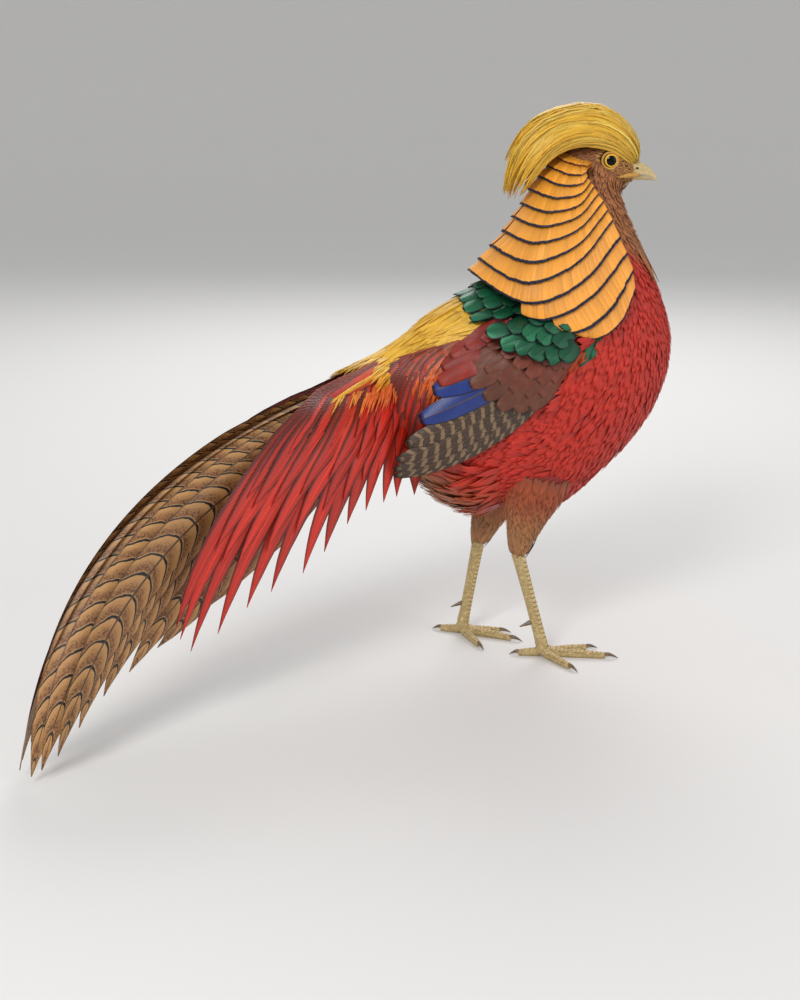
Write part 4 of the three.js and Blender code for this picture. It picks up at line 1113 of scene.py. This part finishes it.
# Pointed plumes of the throat hang over the breast
THROAT_LOCKS, THROAT_PLUMES, THROAT_ROWS = np.array([-0.78, -0.42, -0.06, 0.32, 0.7]), 13, 9
throat_lock = np.repeat(THROAT_LOCKS, THROAT_PLUMES)
spread = np.tile(np.linspace(-1, 1, THROAT_PLUMES), len(THROAT_LOCKS))
count = len(spread)
s = np.linspace(0, 1, THROAT_ROWS)[None]
throat_end = 10.85 - 0.75 * np.abs(throat_lock) + 0.2 * spread**2 + rng.normal(0, 0.03, count)
turn = math.pi + throat_lock[:, None] + spread[:, None] * (0.19 - 0.16 * s**1.5)
throat_quills = quills(
    body_point, throat_end[:, None] + 1.5 * (1 - s), turn, -1.0 + 3.6 * s, outward_from(60, 0, 340), 0.004
)
vanes(
    "throat_plumes", *throat_quills, profile(2.4, [0.5, 1, 1, 0.9, 0.55, 0.06], THROAT_ROWS),
    vary(blend(rng.uniform(0, 0.5, count), RUST, (0.40, 0.12, 0.035)), count, 0.15), HAIR_PLUME, "face",
    thick=0.4, columns=5,
)

# Mantle: rows of round green scales below the cape
MANTLE_ROWS, MANTLE_STEP, MANTLE_WIDTH, MANTLE_FRONT = 4, 0.56, 13.6, 25
SCALE_LENGTH, SCALE_ROWS, WING_TO_MANTLE = 21, 12, 10.5
SCALE_SHAPE = [0.72, 0.92, 1, 1, 1, 1, 1, 0.995, 0.95, 0.84, 0.63, 0.14]
edge = np.concatenate([MANTLE_EDGE[:0:-1] * (1, -1), MANTLE_EDGE])
tips = []
for row in range(MANTLE_ROWS):
    line = edge + (MANTLE_STEP * row, 0)
    length = length_along(body_point(*line.T))
    stops = length[-1] / 2 + (np.arange(-9, 10) + 0.5 * (row % 2)) * MANTLE_WIDTH
    stops = stops[(stops > 0) & (stops < length[-1])]
    tips.append(np.stack([np.interp(stops, length, line[:, k]) for k in (0, 1)], -1))
tips = np.concatenate(tips)
tips = tips[body_point(*tips.T)[:, 0] < MANTLE_FRONT]
a, b = (tips + rng.normal(0, 0.01, tips.shape)).T[..., None]
s = np.linspace(0, 1, SCALE_ROWS)[None]
mantle_quills = quills(
    lambda place, turn: wing_cover(body_point(place, turn), WING_TO_MANTLE),
    a + (1 - s) * SCALE_LENGTH / np.linalg.norm(pace(body_point, a, b)[0], axis=-1), b + 0 * s,
    0.6 + 3.2 * s + 0 * a, outward_from(0, 0, 200), 0.004,
)
vanes(
    "mantle_scales", *mantle_quills, profile(8.2, SCALE_SHAPE, SCALE_ROWS), vary(GREEN, len(a), 0.3),
    SCALE_PLUME, "body", thick=0.45, columns=9, camber=0.16,
)

# Wings
# Flight feathers from the lowest up: root, tip, sag, half width
WING_FLIGHT = [
    ((50, -22), (192, -9), 11, 4.5),
    ((50, -16), (194, -6), 10, 5.5),
    ((50, -9), (191, -1), 8.5, 6.5),
    ((50, -2), (184, 5), 7, 8),
    ((50, 5), (169, 12), 5, 9.5),
]
TERTIALS = [((50, 13), (148, 22), 3, 11), ((52, 21), (125, 34), 1, 11.5)]
SCAPULARS = [
    ((66, 27), (118, 36)), ((58, 33), (108, 43)), ((46, 36), (97, 46)), ((34, 35), (84, 45)),
    ((24, 29), (71, 41)), ((16, 20), (58, 36)),
]
# Rows of coverts: tips from the top down, length, half width, tint
COVERT_ROWS = [
    ([(101, 34), (98, 23), (95, 9), (91, -5), (81, -15), (70, -21)], 44, 8.0, (0.95, 0.80, 0.75)),
    ([(86, 36), (82, 25), (78, 13), (74, 1), (67, -10), (57, -17)], 32, 7.2, (1.1, 0.75, 0.65)),
    ([(70, 36), (65, 25), (61, 14), (57, 3), (52, -7), (43, -13)], 27, 6.6, (1.3, 0.72, 0.58)),
    ([(54, 34), (49, 24), (45, 14), (41, 4), (37, -4), (30, -9)], 24, 6.0, (1.5, 0.66, 0.50)),
    ([(38, 30), (34, 21), (30, 12), (27, 4), (22, -4)], 20, 5.6, (1.6, 0.6, 0.45)),
    ([(24, 24), (20, 16), (16, 9), (13, 2)], 17, 5.2, (1.7, 0.55, 0.42)),
]
ROUND_TIP = [0.6, 0.9, 1, 1, 1, 1, 1, 0.97, 0.93, 0.86, 0.72, 0.35]
SECONDARY = wing_finish("flight feathers", UMBER, (0.30, 0.19, 0.10), 13)
TERTIAL = wing_finish("blue flight feathers", BLUE, (0.02, 0.055, 0.30), 4, 0.3, 0.25)
WING_COVERT = wing_finish(
    "wing coverts", (0.135, 0.040, 0.018), (0.20, 0.075, 0.030), 3, share=0.35, hem=0.55
)
FLANK_COUNT = 34
WING_EDGE = np.array([(-2, 2), (2, -2), (12, -6), (24, -12), (36, -19), (48, -25), (58, -30)], float)


def wing_vane(side, root, tip, sag, high, wide, shares=ROUND_TIP, rows=16):
    """One feather on the folded wing: its places, its faces and its half widths"""
    s = np.linspace(0, 1, rows)[None]
    a = root[0] + (tip[0] - root[0]) * s
    b = root[1] + (tip[1] - root[1]) * s - 4 * sag * s * (1 - s)
    lift = -3 + (high + 3) * np.minimum(1, s * 2.5)
    place, face = quills(lambda u, v: wing_point(side, u, v), a, b, lift, lambda place: SIDEWAYS * side, 1.0)
    return place, face, profile(wide, shares, rows)


for name, side in SIDES:
    for part, feathers, finish, base in (
        ("flight", WING_FLIGHT, SECONDARY, -1.2), ("tertials", TERTIALS, TERTIAL, 3.2),
    ):
        built = [
            wing_vane(side, root, tip, sag, base + 0.9 * i, wide, rows=22)
            for i, (root, tip, sag, wide) in enumerate(feathers)
        ]
        piece = vanes(
            f"wing_{part}_{name}", *joined(built), vary((1, 1, 1), len(feathers), 0.15), finish, "wing",
            thick=0.5, columns=9, camber=0.1,
        )
        if part == "flight":
            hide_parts(f"wing_{name}")
    built, tints = [], []
    for row, (tips, length, wide, tint) in enumerate(COVERT_ROWS):
        for i, tip in enumerate(tips):
            slant = 0.3 * (i / (len(tips) - 1) - 0.35)
            root = (tip[0] - length, tip[1] + length * slant - 3)
            built.append(wing_vane(side, root, tip, 0, 4.6 + 0.42 * row + 0.25 * (i % 2), wide))
            tints.append(tint)
    for i, (root, tip) in enumerate(SCAPULARS):
        built.append(wing_vane(side, root, tip, -3, 5.4 + 0.35 * i, 8.6))
        tints.append((1.9, 0.42, 0.42))
    vanes(
        f"wing_coverts_{name}", *joined(built), np.array(tints) * rng.uniform(0.88, 1.12, (len(tints), 1)),
        WING_COVERT, "wing", thick=0.5, columns=9, camber=0.12,
    )
    # Small red feathers of the breast lap over the wing's front edge
    lap = np.linspace(0, len(WING_EDGE) - 1, FLANK_COUNT) + rng.normal(0, 0.08, FLANK_COUNT)
    built = [
        wing_vane(
            side, (a - 16, b - 8 + rng.normal(0, 1)), (a + rng.uniform(2, 8), b + rng.uniform(-3, 1)),
            0, 5.0, 2.9, [0.5, 1, 0.95, 0.7, 0.1], 8,
        )
        for a, b in sample(WING_EDGE, np.clip(lap, 0, 5.99))
    ]
    vanes(
        f"flank_feathers_{name}", *joined(built), vary(SCARLET, FLANK_COUNT, 0.15), BODY_PLUME, "body",
        thick=0.4,
    )


# Tail
BAR_GAP = 17
TAIL_ROWS = 56
# Share of the full width from root to tip
TAIL_SHAPE = np.array([
    [0, 0.45], [0.15, 0.9], [0.45, 1], [0.66, 0.98], [0.78, 0.86], [0.88, 0.6], [0.95, 0.3], [1, 0.02],
])
feathers = []
for pair in range(TAIL_PAIRS):
    row = sample(TAIL_FEATHERS, pair * 4 / (TAIL_PAIRS - 1))
    out, roll, wide = row[6], math.radians(row[7]), row[8]
    s = np.linspace(0, 1, TAIL_ROWS)
    back, z = bezier([TAIL_ROOT, row[0:2], row[2:4], row[4:6]], s).T
    ahead_back, ahead_z = unit(np.gradient(np.stack([back, z], -1), axis=0)).T
    width = wide * table_at(TAIL_SHAPE, s)
    for side in (1, -1):
        spread = side * out * (0.5 + 0.5 * np.minimum(1, s * 3)) * (1 - 0.4 * s * s)
        place = tail_point(back, spread, z)
        up = unit(tail_point(back - ahead_z, spread, z + ahead_back) - place)
        away = unit(tail_point(back, spread + side, z) - place)
        place = place - up * (0.9 * math.sin(roll) * width)[:, None]
        face = up * math.cos(roll) + away * math.sin(roll)
        feathers.append((place, face, width, length_along(place)[-1] / BAR_GAP))
rows, faces, half, tail_bars = stacked(feathers)
tail = vanes(
    "tail_feathers", rows, faces, half, vary((1, 1, 1), TAIL_PAIRS * 2, 0.14), tail_finish(), "tail",
    thick=0.8, columns=9, camber=0.1,
)
value_layer(tail.data, "Bars", np.repeat(tail_bars, len(tail.data.vertices) // len(tail_bars)))
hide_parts("tail")

# Tail coverts: long narrow scarlet plumes that fan out from the rump
# Layers from the longest: count, share of the full length, half width, rise
PLUME_LAYERS = [
    (13, 1.0, 12.0, 0), (12, 0.86, 11.4, 1.4), (10, 0.70, 10.4, 2.8), (9, 0.54, 9.4, 4.1),
    (8, 0.40, 8.4, 5.3),
]
PLUME_SHAPE = [0.3, 0.5, 0.7, 0.85, 0.95, 1, 1, 0.98, 0.93, 0.83, 0.66, 0.4, 0.02]
PLUME_ROWS = 26
FAN_END = 5.999
ROOT_PLUMES, ROOT_ROWS = 210, 10
for name, side in (("right", 1), ("left", -1)):
    plumes = []
    for layer, (count, share, wide, rise) in enumerate(PLUME_LAYERS):
        for i in range(count):
            fan = np.clip((i + 0.5 * (layer % 2)) / (count - 0.5) * 6 + rng.normal(0, 0.03), 0, FAN_END)
            s = np.linspace(0, share * rng.uniform(0.94, 1.0) if layer else 1, PLUME_ROWS)
            line, out = plume_line(side, fan, s, rise - 0.3 * (i % 3) + rng.normal(0, 0.1))
            half = profile(wide * rng.uniform(0.9, 1.08), PLUME_SHAPE, PLUME_ROWS)[0]
            base = blend(np.array(0.15 * layer + rng.uniform(-0.1, 0.15)), ORANGE_RED, (0.85, 0.26, 0.02))
            tint = blend(np.linspace(0.1, 1.3, PLUME_ROWS), base, SCARLET) * rng.uniform(0.72, 1.12)
            plumes.append((line, out, half, tint))
    coverts = vanes(
        f"tail_coverts_{name}", *stacked(plumes), RED_PLUME, "coverts",
        thick=0.5, columns=5, camber=0.16, fray=0.03,
    )
    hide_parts(f"coverts_{name}")

    # Silky golden plumes over their roots
    plumes = []
    for i in range(ROOT_PLUMES):
        fan = rng.uniform(0, FAN_END)
        s = np.linspace(0, rng.uniform(0.2, 0.36) * (1 + 0.1 * fan), ROOT_ROWS)
        line, out = plume_line(side, fan, s, 6.5)
        line = line + out * np.interp(s / s[-1], [0, 0.5, 1], [-3, -1.5, 0.8])[:, None]
        tint = blend(smooth(fan + rng.normal(0, 0.4), 0.2, 2.2), GOLD, (0.78, 0.13, 0.012))
        plumes.append((line, out, tint))
    rows, faces, tint = stacked(plumes)
    vanes(
        f"covert_roots_{name}", rows, faces, profile(2.5, SILKY_SHAPE, ROOT_ROWS),
        vary(tint, ROOT_PLUMES, 0.15), HAIR_PLUME, "coverts", thick=0.4, camber=0.2,
    )


# Eyes and lids
def placed(piece, name):
    """Puts the object's place into its mesh"""
    piece.name = piece.data.name = name
    only(piece)
    bpy.ops.object.transform_apply(location=True, rotation=True, scale=True)
    bpy.ops.object.shade_smooth()
    return piece


def eye_finish():
    look = Finish("eye", 0.12, Coat_Weight=0.3, Coat_Roughness=0.02, Specular_IOR_Level=0.05)
    radius = look.attribute("Ring", "Fac")
    colour = look.mix(look.noise(900.0, 2.0).step(0.35, 0.7), (0.80, 0.46, 0.03), (0.95, 0.68, 0.12))
    colour = colour.painted(radius.step(4.6, 5.9), (0.62, 0.30, 0.02))
    colour = colour.painted(radius.step(5.5, 5.9), (0.012, 0.008, 0.006))
    return look.finish(colour.painted(radius.step(4.3, 4.15), (0.0005, 0.0005, 0.0005)))


def lid_finish():
    look = Finish("eyelid", 0.5)
    folds = look.noise(1400.0)
    colour = look.mix(folds.step(0.35, 0.65), (0.38, 0.17, 0.03), (0.66, 0.37, 0.07))
    return look.finish(colour, folds, 0.5, 0.0003)


EYE_FINISH, LID_FINISH = eye_finish(), lid_finish()
for name, side in SIDES:
    turn = Vector(eye_axis[side]).to_track_quat("Z", "Y").to_euler()
    bpy.ops.mesh.primitive_uv_sphere_add(
        segments=64, ring_count=48, radius=EYE["radius"] * MM,
        location=to_frame(eye_middle[side]), rotation=turn,
    )
    ball = placed(bpy.context.active_object, f"eyeball_{name}")
    spots = np.empty(len(ball.data.vertices) * 3)
    ball.data.vertices.foreach_get("co", spots)
    radius, outer = beside_eye(spots.reshape(-1, 3) / MM - OFFSET, side)
    value_layer(ball.data, "Ring", np.where(outer, radius, 9))
    dressed(ball, EYE_FINISH, "eyes", f"eye_{name}")
    bpy.ops.mesh.primitive_torus_add(
        major_segments=64, minor_segments=14, major_radius=LID["radius"] * MM, minor_radius=LID["thick"] * MM,
        location=to_frame(from_head(EYE["ahead"], side * LID["out"], EYE["up"])), rotation=turn,
    )
    dressed(placed(bpy.context.active_object, f"eyelid_{name}"), LID_FINISH, "eyes")

# Bill: ahead, top height, bottom height, half width
BILL_UPPER = [
    (12, 5.0, -8.6, 6.8), (16, 4.6, -9.2, 6.6), (20, 3.8, -9.5, 6.1), (25, 2.2, -9.7, 5.2),
    (30, -0.1, -10.0, 4.2), (34.5, -3.2, -10.8, 3.1), (38.5, -7.1, -12.2, 2.0), (42, -12.2, -15.0, 0.7),
]
BILL_LOWER = [
    (12, -9.2, -14.8, 5.9), (17, -9.9, -14.6, 5.5), (23, -10.1, -14.4, 4.6), (28, -10.3, -14.2, 3.7),
    (33, -11.0, -14.1, 2.6), (37, -12.2, -14.4, 1.5), (40, -13.7, -14.9, 0.6),
]
# Outlines of their left halves, as out and up, from the middle of the top to the middle of the bottom
BILL_ROOF = [(0, 1), (0.36, 0.93), (0.68, 0.7), (0.9, 0.42), (1, 0.18), (0.95, 0), (0.5, 0.06), (0, 0.1)]
BILL_KEEL = [(0, 1), (0.55, 1), (0.95, 1), (0.97, 0.7), (0.8, 0.3), (0.42, 0.03), (0, 0)]


def grown(name, rings):
    """A form extruded ring by ring from a filled circle"""
    bpy.ops.object.select_all(action="DESELECT")
    bpy.ops.mesh.primitive_circle_add(vertices=len(rings[0]), radius=0.01, fill_type="NGON")
    piece = bpy.context.active_object
    piece.name = piece.data.name = name
    mode("EDIT")
    shape = bmesh.from_edit_mesh(piece.data)
    shape.verts.ensure_lookup_table()
    for vertex, spot in zip(shape.verts, rings[0]):
        vertex.co = to_frame(spot)
    for before, ring in zip(rings, rings[1:]):
        bpy.ops.mesh.extrude_region_move()
        shape = bmesh.from_edit_mesh(piece.data)
        old = [to_frame(spot) for spot in before]
        for vertex in [v for v in shape.verts if v.select]:
            nearest = min(range(len(old)), key=lambda k: (old[k] - vertex.co).length)
            vertex.co = to_frame(ring[nearest])
    bpy.ops.mesh.select_all(action="SELECT")
    bpy.ops.mesh.normals_make_consistent(inside=False)
    mode("OBJECT")
    applied(piece, "SUBSURF", levels=2, render_levels=2)
    bpy.ops.object.shade_smooth()
    return piece


def horn_finish(name, base, tip, dark):
    look = Finish(name, 0.38)
    grain = look.noise(500.0, 4.0)
    colour = look.mix(grain.step(0.3, 0.7), base, tip).painted(grain.step(0.62, 0.8) * 0.5, dark)
    return look.finish(colour, grain, 0.12, 0.0003)


BILL = horn_finish("bill", (0.46, 0.34, 0.15), (0.60, 0.46, 0.22), (0.22, 0.15, 0.07))
HORN = horn_finish("horn", (0.10, 0.07, 0.045), (0.20, 0.14, 0.08), (0.05, 0.035, 0.02))
# The nostril's opening is a near-black ball: painted shade where the hole lies
NOSTRIL_SHADE = Finish("nostril", 0.7).finish((0.02, 0.014, 0.010))

for name, rows, left in (("upper", BILL_UPPER, BILL_ROOF), ("lower", BILL_LOWER, BILL_KEEL)):
    corners = left + [(-out, up) for out, up in left[-2:0:-1]]
    rings = [
        [from_head(ahead, out * wide, bottom + up * (top - bottom)) for out, up in corners]
        for ahead, top, bottom, wide in rows
    ]
    dressed(grown({"upper": "bill_top", "lower": "bill_bottom"}[name], rings), BILL, "horn", f"bill_{name}")

# Corner of the mouth: ahead, out, up, half width
GAPE = np.array([
    (7.5, 11.2, -11.6, 0.3), (11, 10.9, -11.0, 1.1), (15, 10.0, -10.2, 1.7), (19, 8.0, -9.7, 2.1),
    (23, 6.0, -9.7, 2.0), (27, 4.9, -9.9, 0.5),
])


def small_ball(name, middle, size, tilt, finish):
    """A small ball on the bill, for the swelling over the nostril and for the nostril's opening, which is
    painted shade
    """
    bpy.ops.mesh.primitive_uv_sphere_add(segments=28, ring_count=16, radius=1 * MM, location=to_frame(middle))
    ball = bpy.context.active_object
    ball.scale = size
    ball.rotation_euler = (0, math.radians(tilt), math.radians(HEAD_TURN))
    dressed(placed(ball, name), finish, "horn")


for name, side in SIDES:
    small_ball(f"nostril_flap_{name}", from_head(21.5, side * 4.2, -2.9), (4.6, 2.0, 2.7), 14, BILL)
    # Near-black ball for the nostril's opening: painted shade in place of a hole
    small_ball(f"nostril_{name}", from_head(24.0, side * 5.6, -3.9), (1.5, 0.6, 0.9), 20, NOSTRIL_SHADE)
    ahead, out, up, half = GAPE.T
    gape = from_head(ahead, side * out, up)[None]
    vanes(
        f"gape_{name}", gape, np.broadcast_to(eye_axis[side], gape.shape), half[None], (0.46, 0.30, 0.11),
        LID_FINISH, "horn", thick=1.6, columns=7,
    )


# Legs
RING_GAP = 4.4


def leg_finish():
    """Small scales all over, and rings up the shank"""
    look = Finish("leg scales", 0.45)
    cells = look.node("TexVoronoi", "Distance", {"Vector": look.spot(), "Scale": 620.0})
    height = look.axis("Z", look.spot())
    ring = (height * (1 / (RING_GAP * MM))).math("FRACT")
    colour = look.mix(look.noise(300.0).step(0.35, 0.7), (0.44, 0.32, 0.135), (0.58, 0.44, 0.20))
    colour = colour.painted(cells.step(0.42, 0.7) * 0.4, (0.26, 0.17, 0.07))
    shank = height.step(11 * MM, 14 * MM)
    colour = colour.painted(ring.step(0.16, 0.04) * shank * 0.5, (0.24, 0.15, 0.06))
    return look.finish(colour, cells, -0.3, 0.0004)


def scute_finish():
    """Horny plates with darker lower edges"""
    look = Finish("leg plates", 0.38)
    across, along = look.vane()
    grain = look.noise(700.0)
    colour = look.mix(grain.step(0.3, 0.7), (0.44, 0.31, 0.125), (0.60, 0.45, 0.21))
    rim = along.step(0.72, 0.98).math("MAXIMUM", across.step(0.75, 1.0))
    return look.finish(colour.painted(rim * 0.75, (0.20, 0.125, 0.045)), grain, 0.15, 0.0003)


LEG, SCUTE = leg_finish(), scute_finish()
# Shank from ankle to foot: place, half width, half depth. Toe from root to tip: place, radius, height
SHANK = np.array([[0, 5, 5.8], [0.1, 4.2, 5.6], [0.5, 3.5, 4.8], [0.85, 3.7, 5.0], [1, 4.8, 5.6]])
TOE = np.array([[0, 4.4, 6.6], [0.25, 3.6, 3.0], [0.6, 3.3, 2.8], [0.92, 2.7, 2.3], [1, 2.0, 1.7]])
# Claw from root to tip: place, radius, height
CLAW = [
    (-0.2, 2.2, 3.0), (0.08, 2.1, 3.8), (0.32, 1.75, 3.9), (0.56, 1.3, 3.1), (0.78, 0.8, 1.9),
    (1.0, 0.2, 0.5),
]
CLAW_LENGTH, HIND_CLAW_LENGTH = 12.0, 9.5
LEG_VOXEL, SPUR_VOXEL = 0.6, 0.35
# Places along one horny plate
PLATE_ROWS = np.linspace(0, 1, 4)


def knuckles(spots):
    """Balls that are melted into the leg at its joints"""
    made = []
    for middle, radius in spots:
        bpy.ops.mesh.primitive_ico_sphere_add(subdivisions=3, radius=radius * MM, location=to_frame(middle))
        made.append(bpy.context.active_object)
        bpy.ops.object.transform_apply(location=True)
    return made


def claw_rings(start, ahead, side, length):
    """Rings of a curved claw that starts inside the toe's end"""
    turn = (np.arange(10) * math.tau / 10)[:, None]
    round_out = UP * np.sin(turn) + side * 0.85 * np.cos(turn)
    return [start + ahead * length * t + UP * height + round_out * radius for t, radius, height in CLAW]


for name, leg in LEGS.items():
    ankle, foot = leg["ankle"], leg["foot"]
    axis = unit(foot - ankle)
    sideways = unit(SIDEWAYS - axis * axis[1])
    front = np.cross(sideways, axis)
    front *= np.sign(front[0])
    start = foot * (1, 1, 0)
    joints = [
        (start + UP * 7, 5.9), (foot - axis * 4, 5.4), (foot - axis * 9, 5.0), (ankle + axis * 2, 5.6),
    ]
    plates = []
    for row, angle in enumerate((-40, 40)):
        cos, sin = math.cos(math.radians(angle)), math.sin(math.radians(angle))
        for t in np.arange(0.05 + 0.022 * row, 0.97, 0.047):
            s = t + PLATE_ROWS * 0.062
            wide, deep = (each[:, None] for each in table_pair(SHANK, s))
            face = unit(front * cos / deep + sideways * sin / wide)
            out = front * cos * (deep + 0.25) + sideways * sin * (wide + 0.25)
            place = ankle + (foot - ankle) * s[:, None] + out + face * (PLATE_ROWS * 0.55 - 0.2)[:, None]
            plates.append((place, face, 3.1 * np.array([0.95, 1, 1, 0.75])))
    for toe, (heading, length) in leg["toes"].items():
        turn = math.radians(heading)
        ahead = np.array([math.cos(turn), math.sin(turn), 0])
        side = np.array([-math.sin(turn), math.cos(turn), 0])
        for t, radius in ((0.22, 4.1), (0.45, 3.8), (0.72, 3.5), (0.95, 3.0)):
            joints.append((start + ahead * length * t + UP * radius * 0.92, radius))
        for t in np.arange(0.14, 0.99, 3.6 / length):
            s = t + PLATE_ROWS * 5.0 / length
            radius, height = table_pair(TOE, s)
            top = (height + radius + 0.35 + PLATE_ROWS * 0.3)[:, None] * UP
            place = start + ahead * (length * s)[:, None] + top
            plates.append((place, np.repeat(UP[None], 4, 0), radius * np.array([0.85, 0.95, 0.95, 0.7])))
        claw_length = HIND_CLAW_LENGTH if toe == "hind" else CLAW_LENGTH
        claw = grown(f"claw_horn_{name}_{toe}", claw_rings(start + ahead * length, ahead, side, claw_length))
        dressed(claw, HORN, "legs", f"claw_{name}_{toe}")
    nodes = (f"shank_{name}", f"foot_{name}")
    dressed(moulded(f"leg_{name}", nodes, LEG_VOXEL, 5, -0.15, knuckles(joints)), LEG, "legs", *nodes)
    vanes(
        f"leg_plates_{name}", *stacked(plates), (1, 1, 1), SCUTE, "legs",
        thick=0.7, columns=7, camber=0.5,
    )
    spur = moulded(f"spur_horn_{name}", (f"spur_{name}",), SPUR_VOXEL, 3, -0.2)
    dressed(spur, HORN, "legs", f"spur_{name}")

# Floor, with a rim that rises in a wide curve all round
bpy.ops.object.select_all(action="DESELECT")
FLOOR_RADIUS = 4.0
bpy.ops.mesh.primitive_circle_add(vertices=96, radius=FLOOR_RADIUS, fill_type="NGON", location=(0, 0, 0))
floor = bpy.context.active_object
floor.name = "floor"
mode("EDIT")
bpy.ops.mesh.select_all(action="SELECT")
bpy.ops.mesh.inset(thickness=0.5)
bpy.ops.mesh.select_all(action="DESELECT")
mode("OBJECT")
for edge in floor.data.edges:
    edge.select = all(floor.data.vertices[v].co.xy.length > FLOOR_RADIUS - 0.01 for v in edge.vertices)
mode("EDIT")
bpy.ops.mesh.select_mode(type="EDGE")
reach = FLOOR_RADIUS
for step, height in ((0.6, 0.06), (0.5, 0.18), (0.4, 0.32), (0.25, 0.44), (0.1, 0.6), (0.0, 1.0)):
    bpy.ops.mesh.extrude_region_move(TRANSFORM_OT_translate={"value": (0, 0, height)})
    bpy.ops.transform.resize(value=((reach + step) / reach, (reach + step) / reach, 1))
    reach += step
mode("OBJECT")
bpy.ops.object.shade_smooth()
floor.data.materials.append(Finish("floor", 0.75).finish((0.74, 0.73, 0.71)))

# Light
world = bpy.data.worlds.new("studio")
bpy.context.scene.world = world
world.use_nodes = True
world.node_tree.nodes["Background"].inputs["Color"].default_value = (0.82, 0.83, 0.85, 1)
world.node_tree.nodes["Background"].inputs["Strength"].default_value = 0.72
bpy.context.scene.view_settings.view_transform = "Standard"


def facing(piece, direction):
    piece.rotation_euler = Vector(direction).to_track_quat("-Z", "Y").to_euler()


def softbox(name, place, size, power):
    light = bpy.data.lights.new(name, "AREA")
    light.size = size
    light.energy = power
    lamp = linked(name, light)
    lamp.location = place
    facing(lamp, Vector((0, 0, 0.22)) - Vector(place))


softbox("key", (-0.9, -1.6, 1.7), 0.75, 27)
softbox("fill", (1.8, -1.1, 0.9), 1.4, 10)
softbox("back", (0.4, 1.7, 1.5), 1.2, 18)

# Camera
CAMERA_AT = (-270.285, -1271.592, 500)
CAMERA_HEADING = (0.1312, 0.9914)
CAMERA_PITCH = math.radians(-15.7435)
FOCAL_PIXELS, PICTURE_HEIGHT, SENSOR_HEIGHT = 1505, 1000, 36
lens = bpy.data.cameras.new("camera")
lens.sensor_fit = "VERTICAL"
lens.sensor_height = SENSOR_HEIGHT
lens.lens = FOCAL_PIXELS * SENSOR_HEIGHT / PICTURE_HEIGHT
camera = linked("camera", lens)
camera.location = to_frame(CAMERA_AT)
facing(camera, [*(share * math.cos(CAMERA_PITCH) for share in CAMERA_HEADING), math.sin(CAMERA_PITCH)])
bpy.context.scene.camera = camera
